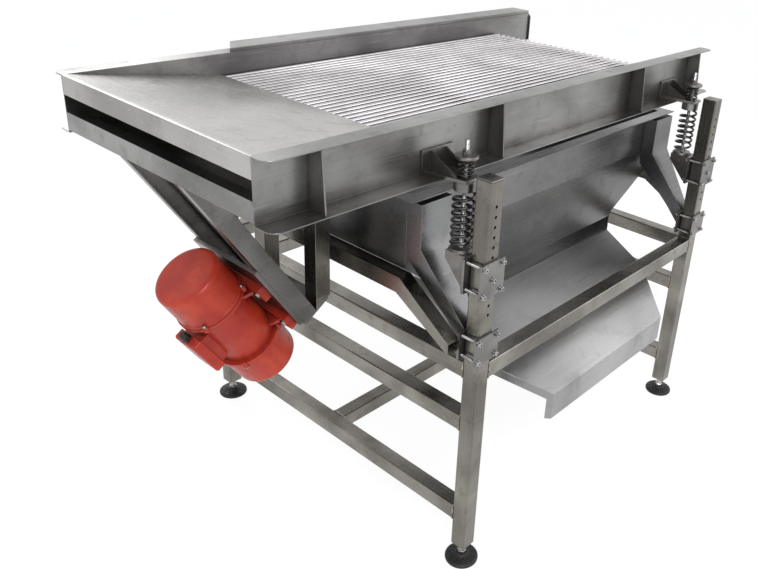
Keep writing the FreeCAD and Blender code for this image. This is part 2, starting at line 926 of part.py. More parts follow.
def make_spring_bracket(corner, side, x):
    """Plate on the deck's web, a shelf with the rod's hole and boss, and two gussets over the shelf."""
    y = side * S.spring_y
    half = S.bracket_width / 2
    hole = S.rod_radius + S.rod_clear
    plate_face = web_y + S.bracket_thick
    plate = new_body(f"{corner}_bracket_plate")
    middle = S.shelf_bottom + S.bracket_height / 2
    levels = between(side * web_y, side * plate_face)
    pad(plate, "XZ", [square(x, middle, half, S.bracket_height / 2)], *levels)
    shelf = new_body(f"{corner}_bracket_shelf")
    tip = side * (S.spring_y + S.shelf_reach)
    corners = [
        (x - half + 10, side * plate_face),
        (x + half - 10, side * plate_face),
        (x + S.shelf_reach, tip),
        (x - S.shelf_reach, tip),
    ]
    bore = polygon(x, y, hole, ROD_SIDES)
    pad(shelf, "XY", [corners, bore], S.shelf_bottom, shelf_top)
    pad(shelf, "XY", [polygon(x, y, S.boss_radius, ROD_SIDES), bore], boss_bottom, S.shelf_bottom)
    gussets = []
    for hand in (-1, 1):
        gusset = new_body(f"{corner}_bracket_gusset")
        top = S.shelf_bottom + S.bracket_height - 4
        profile = [
            (side * plate_face, shelf_top),
            (side * S.spring_y, shelf_top),
            (side * plate_face, top),
        ]
        outer = x + hand * S.gusset_spread
        pad(gusset, "YZ", [profile], *between(outer, outer - hand * S.gusset_thick))
        gussets.append(gusset)
    return join(f"{corner}_spring_bracket", [plate, shelf, *gussets])


# ---- motor mount -----------------------------------------------------------------------------------------

mount_corner_x = S.mount_length * mount_run + S.mount_depth * mount_fall
mount_corner_z = mount_top - S.mount_length * mount_fall + S.mount_depth * mount_run
strut_x = mount_corner_x + half_tube


def make_mount():
    """Two inclined channels under the end beam, closed at the foot by a plate, and two upright struts."""
    tip_x = S.mount_length * mount_run
    tip_z = mount_top - S.mount_length * mount_fall
    over = S.mount_depth / mount_fall
    profile = [(0.0, mount_top), (over, mount_top), (mount_corner_x, mount_corner_z), (tip_x, tip_z)]
    channels = []
    struts = []
    half = S.mount_width / 2
    margin = S.mount_web / mount_fall
    step_x = S.mount_web * mount_fall
    step_z = S.mount_web * mount_run
    inner = [
        (margin, mount_top + 1),
        (over - margin, mount_top + 1),
        (mount_corner_x - step_x + 30 * mount_run, mount_corner_z - step_z - 30 * mount_fall),
        (tip_x + step_x + 30 * mount_run, tip_z + step_z - 30 * mount_fall),
    ]
    for name, side in (("near", NEAR), ("far", FAR)):
        channel = new_body(f"{name}_mount_channel")
        pad(channel, "XZ", [profile], *between(side * half, side * (half - S.mount_flange)))
        room = between(side * (half - S.mount_web), side * (half - S.mount_flange - 1))
        pocket(channel, "XZ", [inner], *room)
        channels.append(channel)
        strut = new_body(f"{name}_strut")
        y = side * (half - half_tube)
        walls = [square(strut_x, y, half_tube), square(strut_x, y, half_tube - S.tube_wall)]
        pad(strut, "XY", walls, mount_corner_z, deck_bottom)
        cut_line = [
            (strut_x - half_tube, mount_corner_z),
            (strut_x + half_tube, mount_corner_z + S.tube * mount_run / mount_fall),
            (strut_x + half_tube + 1, mount_corner_z - 1),
            (strut_x - half_tube - 1, mount_corner_z - 1),
        ]
        pocket(strut, "XZ", [cut_line], *between(side * (half + 1), side * (half - S.tube - 1)))
        struts.append(strut)
    part(group("mount_channels", channels))
    part(group("mount_struts", struts))


def make_mount_plates():
    """Tilted plates: the one that the motor bolts to, and the one across the foot of the channels."""
    base = new_body("motor_base_plate")
    half = S.mount_width / 2
    first = -(S.base_top + S.base_length)
    edge = [
        (-S.base_thick, first),
        (0.0, first),
        (0.0, -S.base_top),
        (-S.base_thick, -S.base_top),
    ]
    pad(base, "XZ", [edge], -half, half)
    for y in (-S.foot_bolt_y, S.foot_bolt_y):
        holes = [polygon(y, u, S.foot_bolt_radius + S.bolt_clear, HOLE_SIDES) for u in foot_bolt_levels]
        pocket(base, "YZ", holes, -S.base_thick - 1, 1.0)
    part(base, 0.0, 0.0, mount_top, mount_tilt)
    foot = new_body("mount_end_plate")
    reach = S.mount_depth + S.tube * mount_fall + 8
    edge = [
        (0.0, -S.mount_length - S.mount_web),
        (reach, -S.mount_length - S.mount_web),
        (reach, -S.mount_length),
        (0.0, -S.mount_length),
    ]
    pad(foot, "XZ", [edge], -half, half)
    part(foot, 0.0, 0.0, mount_top, mount_tilt)


mount_tilt = S.mount_angle - 90
foot_bolt_levels = (
    -(S.motor_middle - S.foot_bolt_pitch / 2),
    -(S.motor_middle + S.foot_bolt_pitch / 2),
)
motor_x = -S.motor_drop * mount_fall + S.motor_middle * mount_run
motor_z = mount_top - S.motor_drop * mount_run - S.motor_middle * mount_fall


# ---- motor: its own Z axis is the shaft, its own +X points at the mount ------------------------------------


def motor_part(thing):
    return part(thing, motor_x, 0.0, motor_z, mount_tilt)


def make_motor_housing():
    """Cast barrel with a bearing wall at each end, four foot lugs and cooling ribs between them."""
    half = S.stator_length / 2
    room = half - S.bearing_width - S.bearing_wall
    barrel = new_body("motor_barrel")
    pad(barrel, "XY", [drum(S.motor_radius)], -half, half)
    for hand in (-1, 1):
        flange_levels = between(hand * half, hand * (half - S.flange_thick))
        pad(barrel, "XY", [drum(S.flange_radius)], *flange_levels)
    pocket(barrel, "XY", [drum(S.bearing_radius)], -half - 1, half + 1)
    pocket(barrel, "XY", [drum(S.motor_radius - S.motor_wall)], -room, room)
    face = S.motor_drop - S.base_thick
    pieces = [barrel]
    for number, level in enumerate((-S.foot_bolt_pitch / 2, S.foot_bolt_pitch / 2)):
        lug = new_body(f"motor_lug_{number}")
        edge = square(size(0.0), level, S.foot_bolt_y + 20, size(24.0))
        reach = S.foot_bolt_radius + S.bolt_clear
        holes = [polygon(y, level, reach, HOLE_SIDES) for y in (-S.foot_bolt_y, S.foot_bolt_y)]
        pad(lug, "YZ", [edge, *holes], face - S.foot_thick, face)
        web = new_body(f"motor_lug_web_{number}")
        cheek = [
            (face - S.foot_thick, -(S.foot_bolt_y - 14)),
            (face - S.foot_thick, S.foot_bolt_y - 14),
            (S.cheek_root_x, S.cheek_root_y),
            (S.cheek_root_x, -S.cheek_root_y),
        ]
        pad(web, "XY", [cheek], level - 5, level + 5)
        room = round_room(f"motor_room_{number}", S.motor_radius - S.motor_wall / 2, level - 6, level + 6)
        pieces.append(lug)
        pieces.append(hollow(f"motor_cheek_{number}", web, room))
    block = new_body("terminal_seat")
    seat = square(size(0.0), size(0.0), S.box_width / 2 - 8, S.box_length / 2 - 8)
    pad(block, "YZ", [seat], -S.motor_radius - 14, -S.motor_radius + 12)
    core = round_room("terminal_core", S.motor_radius - S.motor_wall / 2, -half + 20, half - 20)
    pieces.append(hollow("terminal_saddle", block, core))
    return motor_part(join("motor_housing", pieces))


def make_motor_cap(name, hand):
    """Deep cover over one pair of weights, bevelled round its closed end."""
    face = S.stator_length / 2
    end = face + S.cap_length
    cap = new_body(name)
    outside = pad(cap, "XY", [drum(S.cap_radius)], *between(hand * face, hand * end))
    bevel_rim(cap, outside, S.cap_bevel, hand * end)
    step = end - S.cap_wall - S.cap_bevel
    wide = drum(S.cap_radius - S.cap_wall)
    narrow = drum(S.cap_radius - S.cap_wall - S.cap_bevel)
    pocket(cap, "XY", [wide], *between(hand * (face - 1), hand * step))
    pocket(cap, "XY", [narrow], *between(hand * step, hand * (end - S.cap_wall)))
    return motor_part(cap)


def make_terminal_box():
    """Box on the side away from the mount, and its cable gland at the upper end."""
    box = new_body("terminal_box")
    inner = -S.motor_radius - 14
    outer = -S.box_reach
    edge = square(size(0.0), size(0.0), S.box_width / 2, S.box_length / 2)
    feature = pad(box, "YZ", [edge], outer, inner)

    def outer_edges(edge_):
        return edge_.BoundBox.XMax < outer.value + 1e-3

    round_edges(box, feature, 7.0, outer_edges)
    motor_part(box)
    gland = new_body("cable_gland")
    middle = (inner + outer) / 2
    rings = [Ring(middle, 0.0, S.gland_radius), Ring(middle, 0.0, S.gland_bore)]
    pad(gland, "XY", rings, S.box_length / 2, S.box_length / 2 + S.gland_length)
    return motor_part(gland)


def make_motor_bolts():
    """Four foot bolts through lug and base plate."""
    bolts = []
    head = S.motor_drop - S.base_thick - S.foot_thick
    for level in (-S.foot_bolt_pitch / 2, S.foot_bolt_pitch / 2):
        for y in (-S.foot_bolt_y, S.foot_bolt_y):
            bolt = new_body("motor_bolt")
            hexagon = polygon(y, level, S.foot_bolt_head, 6)
            pad(bolt, "YZ", [polygon(y, level, S.foot_bolt_radius, HOLE_SIDES)], head, S.motor_drop)
            pad(bolt, "YZ", [hexagon], head - S.foot_head_height, head)
            pad(bolt, "YZ", [hexagon], S.motor_drop, S.motor_drop + S.foot_head_height)
            bolts.append(bolt)
    return motor_part(group("motor_bolts", bolts))


def make_stator():
    """Iron ring pressed into the barrel round the rotor."""
    stator = new_body("stator_core")
    half = S.rotor_length / 2
    rings = [drum(S.motor_radius - S.motor_wall), drum(S.rotor_radius + S.air_gap)]
    pad(stator, "XY", rings, -half, half)
    return motor_part(stator)


def make_rotor():
    """Shaft with the rotor core, the weights at both ends and the bearings that carry it."""
    half = S.stator_length / 2
    shaft_half = half + S.cap_length - 30
    bearings = []
    weights = []
    for hand in (-1, 1):
        bearing = new_body("bearing")
        rings = [drum(S.bearing_radius), Ring(0.0, 0.0, S.shaft_radius + S.run_clear)]
        levels = between(hand * half, hand * (half - S.bearing_width))
        pad(bearing, "XY", rings, *levels)
        bearings.append(bearing)
        weight = new_body("weight")
        start = half + 16
        turns = [math.radians(30 * k) for k in range(7)]
        rim = [(-S.weight_radius * math.sin(t), S.weight_radius * math.cos(t)) for t in turns]
        hub = [(20.0, -18.0), (20.0, 18.0)]
        outline_points = [*rim, *hub]
        hole = Ring(0.0, 0.0, S.shaft_radius)
        levels = between(hand * start, hand * (start + S.weight_thick))
        pad(weight, "XY", [outline_points, hole], *levels)
        weights.append(weight)
    motor_part(group("motor_bearings", bearings))
    motor_part(group("eccentric_weights", weights))
    shaft = new_body("rotor_shaft")
    core = S.rotor_length / 2
    profile = [
        (0.0, -shaft_half),
        (S.shaft_radius, -shaft_half),
        (S.shaft_radius, -core),
        (S.rotor_radius, -core),
        (S.rotor_radius, core),
        (S.shaft_radius, core),
        (S.shaft_radius, shaft_half),
        (0.0, shaft_half),
    ]
    revolve(shaft, profile)
    return motor_part(shaft)


# ---- hopper, chute and their carriers ----------------------------------------------------------------------


def make_hopper():
    """Sheet hopper with sloping ends and one sloping floor that leads out under the near panel."""
    t = S.sheet
    half = S.hopper_half
    side_outer = [
        (-half, S.hopper_top),
        (half, S.hopper_top),
        (half, chute_z(half) - t),
        (-S.panel_foot_y, chute_z(-S.panel_foot_y) - t),
        (-S.panel_foot_y, S.panel_bottom),
        (-half, S.near_fold),
    ]
    beyond = -S.panel_foot_y - 20
    side_inner = [
        (-half + t, S.hopper_top + 1),
        (half - t, S.hopper_top + 1),
        (half - t, chute_z(half - t)),
        (beyond, chute_z(beyond)),
        (beyond, S.panel_bottom),
        (-S.panel_foot_y + t, S.panel_bottom),
        (-half + t, S.near_fold),
    ]
    floor = chute_z(-S.panel_foot_y) - 30

    def front(inset, top):
        return [
            (S.hopper_left + inset, top),
            (S.hopper_right - inset, top),
            (S.hopper_right - inset, S.end_fold),
            (S.trough_right - inset, S.trough_fold),
            (S.trough_right - inset, floor),
            (S.trough_left + inset, floor),
            (S.trough_left + inset, S.trough_fold),
            (S.hopper_left + inset, S.end_fold),
        ]

    shell = two_view_shell(
        "hopper_shell",
        side_outer,
        side_inner,
        front(0.0, S.hopper_top),
        front(t, S.hopper_top + 1),
        S.hopper_left - 5,
        S.hopper_right + 5,
        beyond - 5,
        half + 5,
    )
    flange = new_body("hopper_flange_ring")
    middle = (S.hopper_left + S.hopper_right) / 2
    long_half = (S.hopper_right - S.hopper_left) / 2
    outer = square(middle, size(0.0), long_half + S.hopper_flange, half + S.hopper_flange)
    inner = square(middle, size(0.0), long_half - t, half - t)
    pad(flange, "XY", [outer, inner], S.hopper_top - t, S.hopper_top)
    return part(join("hopper", [shell, flange]))


def make_chute():
    """Tapering tray on the floor's own slope: edges turned down all round and a deep front lip."""
    t = S.sheet
    back = -S.lip_y + (S.lip_y - S.panel_foot_y) + S.chute_lap

    def side(inset, below):
        return [
            (-S.lip_y + inset, S.lip_z - S.lip_depth - below),
            (-S.lip_y + inset, chute_z(-S.lip_y + inset) - t - inset),
            (back - inset, chute_z(back - inset) - t - inset),
            (back - inset, chute_z(back - inset) - t - S.chute_flange - below),
            (-S.lip_y + S.lip_hem - inset, chute_z(-S.lip_y + S.lip_hem) - t - S.chute_flange - below),
            (-S.lip_y + S.lip_hem - inset, S.lip_z - S.lip_depth - below),
        ]

    def plan(inset):
        return [
            (S.lip_left + inset, -S.lip_y - 1),
            (S.lip_right - inset, -S.lip_y - 1),
            (S.lip_right - inset, -S.lip_y),
            (S.trough_right - inset, -S.chute_taper_y),
            (S.trough_right - inset, back + 1),
            (S.trough_left + inset, back + 1),
            (S.trough_left + inset, -S.chute_taper_y),
            (S.lip_left + inset, -S.lip_y),
        ]

    layers = []
    for name, inset, below in (("outer", size(0.0), size(0.0)), ("inner", t, size(1.0))):
        folded = new_body(f"chute_{name}_fold")
        pad(folded, "YZ", [side(inset, below)], S.trough_left - 5, S.trough_right + 5)
        trimmed = new_body(f"chute_{name}_plan")
        pad(trimmed, "XY", [plan(inset)], S.lip_z - S.lip_depth - 5, S.near_fold)
        layers.append(overlap(f"chute_{name}", folded, trimmed))
    return part(hollow("chute", *layers))


def make_arm(corner, side, x):
    """Folded arm from the hopper's long wall out and down to the leg, open towards the hopper."""
    t = S.arm_sheet
    back = S.hopper_half
    front = back + S.arm_depth
    foot_top = S.lower_clamp_z + S.lower_clamp_height / 2 + 6
    foot_bottom = foot_top - 66
    mid_bottom = S.arm_fold - 50
    side_outer = [
        (side * back, S.arm_top),
        (side * front, S.arm_top),
        (side * front, S.arm_fold),
        (side * arm_end_y, foot_top),
        (side * arm_end_y, foot_bottom),
        (side * back, mid_bottom),
    ]
    side_inner = [
        (side * (back - 1), S.arm_top - t),
        (side * (front - t), S.arm_top - t),
        (side * (front - t), S.arm_fold - t / 2),
        (side * (arm_end_y - t), foot_top - t * 1.5),
        (side * (arm_end_y - t), foot_bottom - 9),
        (side * (back - 1), mid_bottom - 9),
    ]

    def spread(inset):
        return [
            (x - S.arm_half + inset, S.arm_top + 1),
            (x + S.arm_half - inset, S.arm_top + 1),
            (x + S.arm_half - inset, S.arm_fold),
            (x + half_tube - inset, foot_top),
            (x + half_tube - inset, foot_bottom - 12),
            (x - half_tube + inset, foot_bottom - 12),
            (x - half_tube + inset, foot_top),
            (x - S.arm_half + inset, S.arm_fold),
        ]

    near, far = between(side * (back - 5), side * (arm_end_y + 5))
    return part(
        two_view_shell(
            f"{corner}_arm",
            side_outer,
            side_inner,
            spread(0.0),
            spread(t),
            x - S.arm_half - 5,
            x + S.arm_half + 5,
            near,
            far,
        )
    )


def make_yoke(end, hand, leg_x):
    """Bent bar under the hopper's end wall, its ends cranked down to the lower clamps."""
    inner = leg_x + hand * S.yoke_off
    outer = inner + hand * S.yoke_width
    wall_x = S.hopper_left if hand < 0 else S.hopper_right
    fold_slope = (S.end_fold - S.trough_fold) / (S.trough_left - S.hopper_left)
    top = S.end_fold - (inner - wall_x) * -hand * fold_slope - S.seat_gap
    bend = S.hopper_half

    def crank(wall, reach):
        return [
            (-reach, S.lower_clamp_z + S.yoke_end_half - wall),
            (-bend, top - wall),
            (bend, top - wall),
            (reach, S.lower_clamp_z + S.yoke_end_half - wall),
            (reach, S.lower_clamp_z - S.yoke_end_half + wall),
            (bend - 12, top - S.yoke_depth + wall),
            (-bend + 12, top - S.yoke_depth + wall),
            (-reach, S.lower_clamp_z - S.yoke_end_half + wall),
        ]

    yoke = new_body(f"{end}_yoke")
    wall = S.tube_wall
    pad(yoke, "YZ", [crank(size(0.0), arm_end_y)], *between(inner, outer))
    room = between(inner + hand * wall, outer - hand * wall)
    pocket(yoke, "YZ", [crank(wall, arm_end_y + 1)], *room)
    return yoke


# ---- the whole machine ---------------------------------------------------------------------------------------

for corner_name, corner_side, corner_x in CORNERS:
    make_leg(corner_name, corner_side, corner_x)
    make_foot(corner_name, corner_side, corner_x)
    make_upper_clamp(corner_name, corner_side, corner_x)
    make_arm(corner_name, corner_side, corner_x)
make_leg_ends()
make_rails()
make_lower_clamps()
make_clamp_bolts()
make_spring_cups()
make_top_plates()
make_springs()
make_hopper()
make_chute()
part(group("hopper_yokes", [make_yoke(*end) for end in ENDS]))
make_side_channel("near_side_channel", NEAR)
make_side_channel("far_side_channel", FAR)
make_ribs()
make_infeed_pan()
make_cross_members()
make_grate_bars()
make_far_guard()
part(group("spring_brackets", [make_spring_bracket(*corner) for corner in CORNERS]))
make_mount()
make_mount_plates()
make_motor_housing()
make_motor_cap("upper_motor_cap", 1)
make_motor_cap("lower_motor_cap", -1)
make_terminal_box()
make_motor_bolts()
make_stator()
make_rotor()

doc.recompute()
for thing in doc.Objects:
    if {"Invalid", "Error"} & set(thing.State):
        raise RuntimeError(f"{thing.Label} did not recompute: {thing.State}")
for thing in parts:
    if thing.Shape.isNull() or not thing.Shape.isValid():
        raise RuntimeError(f"{thing.Label} has no valid shape")

os.makedirs("parts", exist_ok=True)
for thing in parts:
    thing.Shape.exportStep(f"parts/{thing.Label}.step")
    solids = len(thing.Shape.Solids)
    print(f"{thing.Label}: {solids} solid(s), {thing.Shape.Volume / 1e3:.1f} cm3")
print(len(parts), "parts")
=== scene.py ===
"""Vibrating sieve: rolled edges, welds, coil springs, screws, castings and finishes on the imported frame.

Lengths are in metres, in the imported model's own frame: the origin lies on the floor under the middle of the
machine, +X runs along the deck to its discharge end, near is -Y and far is +Y.
"""

import json
import math

import bmesh
import bpy
from mathutils import Matrix, Vector


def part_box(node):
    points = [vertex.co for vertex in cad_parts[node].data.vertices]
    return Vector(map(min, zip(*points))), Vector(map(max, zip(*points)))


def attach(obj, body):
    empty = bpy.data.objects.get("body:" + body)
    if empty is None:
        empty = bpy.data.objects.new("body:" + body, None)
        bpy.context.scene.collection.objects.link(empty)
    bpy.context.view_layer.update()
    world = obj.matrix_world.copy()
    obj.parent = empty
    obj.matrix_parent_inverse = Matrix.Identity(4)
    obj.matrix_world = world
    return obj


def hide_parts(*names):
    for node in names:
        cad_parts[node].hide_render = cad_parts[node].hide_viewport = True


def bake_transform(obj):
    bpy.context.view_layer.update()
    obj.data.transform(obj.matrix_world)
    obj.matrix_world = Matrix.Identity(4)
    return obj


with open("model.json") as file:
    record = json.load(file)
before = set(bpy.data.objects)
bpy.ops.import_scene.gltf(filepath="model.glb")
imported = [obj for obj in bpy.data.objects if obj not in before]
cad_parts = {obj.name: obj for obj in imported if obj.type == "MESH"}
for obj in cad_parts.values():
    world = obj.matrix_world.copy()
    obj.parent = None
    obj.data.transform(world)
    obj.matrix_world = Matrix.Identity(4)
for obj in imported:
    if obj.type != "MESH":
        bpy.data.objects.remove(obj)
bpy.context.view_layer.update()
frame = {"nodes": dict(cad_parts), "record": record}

MM = 0.001
NEAR, FAR = -1, 1
SIDES = {"near": NEAR, "far": FAR}
CORNERS = ("near_left", "near_right", "far_left", "far_right")
RAILS = ("near_mid_rail", "far_mid_rail", "inner_mid_rail", "left_mid_rail", "right_mid_rail")

nodes = frame["nodes"]
behaviour = frame["record"]["behaviour"]
body_of = {node: body for body, members in behaviour["bodies"].items() for node in members}
joints = {joint["name"]: joint for joint in behaviour["joints"]}


# ---- node groups -----------------------------------------------------------------------------------


class Tree:
    """Adds shader nodes and links them by socket name."""

    def __init__(self, tree):
        self.tree = tree

    def add(self, kind, values=None, links=None, **settings):
        node = self.tree.nodes.new(kind)
        for name, value in settings.items():
            setattr(node, name, value)
        for name, value in (values or {}).items():
            node.inputs[name].default_value = value
        for name, socket in (links or {}).items():
            self.tree.links.new(socket, node.inputs[name])
        return node

    def link(self, socket, target):
        self.tree.links.new(socket, target)

    def group(self, group, values):
        """Places a node group with its own values."""
        return self.add("ShaderNodeGroup", values, node_tree=group)

    def noise(self, values, links):
        """Grey value of a noise texture."""
        return self.add("ShaderNodeTexNoise", values, links).outputs["Fac"]

    def bump(self, strength, distance, height):
        """Normal of a surface that this height lifts."""
        relief = self.add("ShaderNodeBump", {"Strength": strength, "Distance": distance}, {"Height": height})
        return relief.outputs["Normal"]

    def maths(self, operation, first, second):
        """One sum on sockets or plain numbers."""
        node = self.tree.nodes.new("ShaderNodeMath")
        node.operation = operation
        for place, value in enumerate((first, second)):
            if isinstance(value, (int, float)):
                node.inputs[place].default_value = value
            else:
                self.tree.links.new(value, node.inputs[place])
        return node.outputs[0]

    def span(self, value, low, high, to_low=0.0, to_high=1.0):
        """Maps a value from one range to another, held at the ends."""
        node = self.add(
            "ShaderNodeMapRange",
            {"From Min": low, "From Max": high, "To Min": to_low, "To Max": to_high},
            {"Value": value},
        )
        return node.outputs["Result"]

    def blend(self, factor, first, second):
        """Mixes two colours, each a socket or a plain colour."""
        node = self.tree.nodes.new("ShaderNodeMix")
        node.data_type = "RGBA"
        for place, value in ((0, factor), (6, first), (7, second)):
            if hasattr(value, "links"):
                self.tree.links.new(value, node.inputs[place])
            elif place:
                node.inputs[place].default_value = (*value, 1.0)
            else:
                node.inputs[place].default_value = value
        return node.outputs[2]


def node_group(name, inputs, outputs):
    """Empty shader group with named sockets; returns it with its tree and its two end nodes."""
    group = bpy.data.node_groups.new(name, "ShaderNodeTree")
    for label, kind, value in inputs:
        socket = group.interface.new_socket(label, in_out="INPUT", socket_type=kind)
        socket.default_value = value
    for label in outputs:
        group.interface.new_socket(label, in_out="OUTPUT", socket_type="NodeSocketFloat")
    tree = Tree(group)
    return group, tree, tree.add("NodeGroupInput"), tree.add("NodeGroupOutput")


def brushed_grain():
    """Fine parallel lines; Stretch is how often they change along each axis, per metre."""
    group, tree, start, end = node_group(
        "brushed grain", [("Stretch", "NodeSocketVector", (6.0, 900.0, 900.0))], ["Streak"]
    )
    where = tree.add("ShaderNodeTexCoord")
    scaled = tree.add("ShaderNodeVectorMath", operation="MULTIPLY")
    tree.link(where.outputs["Object"], scaled.inputs[0])
    tree.link(start.outputs["Stretch"], scaled.inputs[1])
    noise = tree.noise({"Scale": 1.0, "Detail": 3.0, "Roughness": 0.6}, {"Vector": scaled.outputs["Vector"]})
    tree.link(tree.span(noise, 0.25, 0.75), end.inputs["Streak"])
    return group


def sheen_and_tone_patches():
    """Wide soft patches, as polished sheet shows of a room: painted reflection on steel, tone on weld and
    partly both on enamel; and the smudges that hands leave.
    """
    group, tree, start, end = node_group(
        "sheen and tone patches", [("Size", "NodeSocketFloat", 2.5)], ["Cloud", "Smudge"]
    )
    where = tree.add("ShaderNodeTexCoord").outputs["Object"]
    broad = start.outputs["Size"]
    tight = tree.maths("MULTIPLY", broad, 6.0)
    patches = tree.noise({"Detail": 2.0, "Distortion": 0.6}, {"Vector": where, "Scale": broad})
    prints = tree.noise({"Detail": 5.0, "Roughness": 0.7}, {"Vector": where, "Scale": tight})
    tree.link(tree.span(patches, 0.36, 0.66), end.inputs["Cloud"])
    tree.link(tree.span(prints, 0.52, 0.72), end.inputs["Smudge"])
    return group


def fine_scratches():
    """Sparse thin scratches in two crossing directions."""
    group, tree, start, end = node_group(
        "fine scratches", [("Amount", "NodeSocketFloat", 0.5)], ["Scratch"]
    )
    where = tree.add("ShaderNodeTexCoord").outputs["Object"]
    found = []
    for turn, stretch in (((0.3, 0.5, 0.9), (3.0, 140.0, 60.0)), ((1.1, 0.2, 2.2), (4.0, 170.0, 90.0))):
        mapped = tree.add("ShaderNodeMapping", {"Rotation": turn, "Scale": stretch}, {"Vector": where})
        noise = tree.noise({"Scale": 1.0, "Detail": 2.0}, {"Vector": mapped.outputs["Vector"]})
        found.append(tree.span(noise, 0.68, 0.74))
    both = tree.maths("MAXIMUM", *found)
    tree.link(tree.maths("MULTIPLY", both, start.outputs["Amount"]), end.inputs["Scratch"])
    return group


def painted_corner_shade():
    """Painted shade: darkens the colour where faces meet, found by ambient occlusion."""
    group, tree, start, end = node_group(
        "painted corner shade", [("Reach", "NodeSocketFloat", 0.03), ("Amount", "NodeSocketFloat", 0.6)], ["Dirt"]
    )
    hollow = tree.add("ShaderNodeAmbientOcclusion", links={"Distance": start.outputs["Reach"]}, samples=6)
    shade = tree.span(hollow.outputs["AO"], 0.35, 0.95, 1.0, 0.0)
    where = tree.add("ShaderNodeTexCoord").outputs["Object"]
    noise = tree.noise({"Scale": 60.0, "Detail": 4.0}, {"Vector": where})
    patchy = tree.maths("MULTIPLY", shade, tree.span(noise, 0.3, 0.7, 0.5, 1.0))
    tree.link(tree.maths("MULTIPLY", patchy, start.outputs["Amount"]), end.inputs["Dirt"])
    return group


GRAIN = brushed_grain()
SHEEN_AND_TONE = sheen_and_tone_patches()
SCRATCHES = fine_scratches()
CORNER_SHADE = painted_corner_shade()


# ---- materials -------------------------------------------------------------------------------------

ALONG_X = (5.0, 700.0, 700.0)
ALONG_Y = (700.0, 5.0, 700.0)
ALONG_Z = (700.0, 700.0, 5.0)
SATIN = (160.0, 160.0, 160.0)


def new_material(name, **constants):
    """Principled material; constants are set straight on the shader's sockets."""
    material = bpy.data.materials.new(name)
    material.use_nodes = True
    shader = material.node_tree.nodes["Principled BSDF"]
    for socket, value in constants.items():
        shader.inputs[socket].default_value = value
    return material, Tree(material.node_tree), shader


def shaded(colour, share):
    """A colour made lighter or darker by a share."""
    return [channel * share for channel in colour]


def steel(name, dark, light, roughness, stretch, sheen_patch_size=2.5, shade_amount=0.6, scratch=0.4):
    """Worked stainless steel: grain, soft patches of painted reflection, smudges, scratches and painted shade
    in the corners.
    """
    material, tree, shader = new_material(name, Metallic=1.0)
    streak = tree.group(GRAIN, {"Stretch": stretch}).outputs["Streak"]
    sheen_and_tone_group = tree.group(SHEEN_AND_TONE, {"Size": sheen_patch_size})
    smudge = sheen_and_tone_group.outputs["Smudge"]
    scratches = tree.group(SCRATCHES, {"Amount": scratch}).outputs["Scratch"]
    shade_mask = tree.group(CORNER_SHADE, {"Amount": shade_amount}).outputs["Dirt"]
    grain_share = tree.maths("MULTIPLY", streak, 0.3)
    sheen_share = tree.maths("MULTIPLY", sheen_and_tone_group.outputs["Cloud"], 0.7)
    # Base colour from dark to light: part grain, mostly the sheen patches, a painted reflection.
    base = tree.blend(tree.maths("ADD", grain_share, sheen_share), dark, light)
    smudged = tree.blend(tree.maths("MULTIPLY", smudge, 0.35), base, shaded(dark, 0.6))
    marked = tree.blend(tree.maths("MULTIPLY", scratches, 0.6), smudged, shaded(light, 1.25))
    # Painted shade: near-black colour where faces meet.
    tree.link(tree.blend(shade_mask, marked, (0.035, 0.03, 0.027)), shader.inputs["Base Color"])
    dull = tree.maths("MULTIPLY", smudge, 0.12)
    lines = tree.span(streak, 0.0, 1.0, roughness - 0.05, roughness + 0.06)
    worn = tree.maths("ADD", tree.maths("ADD", lines, dull), tree.maths("MULTIPLY", shade_mask, 0.3))
    tree.link(worn, shader.inputs["Roughness"])
    height = tree.maths("ADD", streak, scratches)
    tree.link(tree.bump(0.06, 0.0004, height), shader.inputs["Normal"])
    return material


def enamel():
    """Orange red enamel on castings: slight orange peel, painted shade in the corners and worn spots."""
    gloss = {"Coat Weight": 0.08, "Coat Roughness": 0.2, "Specular IOR Level": 0.35}
    material, tree, shader = new_material("motor_enamel", **gloss)
    where = tree.add("ShaderNodeTexCoord").outputs["Object"]
    sheen_and_tone_group = tree.group(SHEEN_AND_TONE, {"Size": 9.0})
    smudge = sheen_and_tone_group.outputs["Smudge"]
    shade_mask = tree.group(CORNER_SHADE, {"Amount": 0.75}).outputs["Dirt"]
    # Paint tone that varies in soft patches, partly painted sheen.
    paint = tree.blend(sheen_and_tone_group.outputs["Cloud"], (0.40, 0.024, 0.012), (0.54, 0.050, 0.020))
    smudged = tree.blend(tree.maths("MULTIPLY", smudge, 0.35), paint, (0.25, 0.02, 0.015))
    # Painted shade: dark red-brown where faces meet.
    tree.link(tree.blend(shade_mask, smudged, (0.07, 0.012, 0.01)), shader.inputs["Base Color"])
    tree.link(tree.span(smudge, 0.0, 1.0, 0.36, 0.58), shader.inputs["Roughness"])
    cast = tree.noise({"Scale": 260.0, "Detail": 3.0}, {"Vector": where})
    tree.link(tree.bump(0.12, 0.0006, cast), shader.inputs["Normal"])
    return material


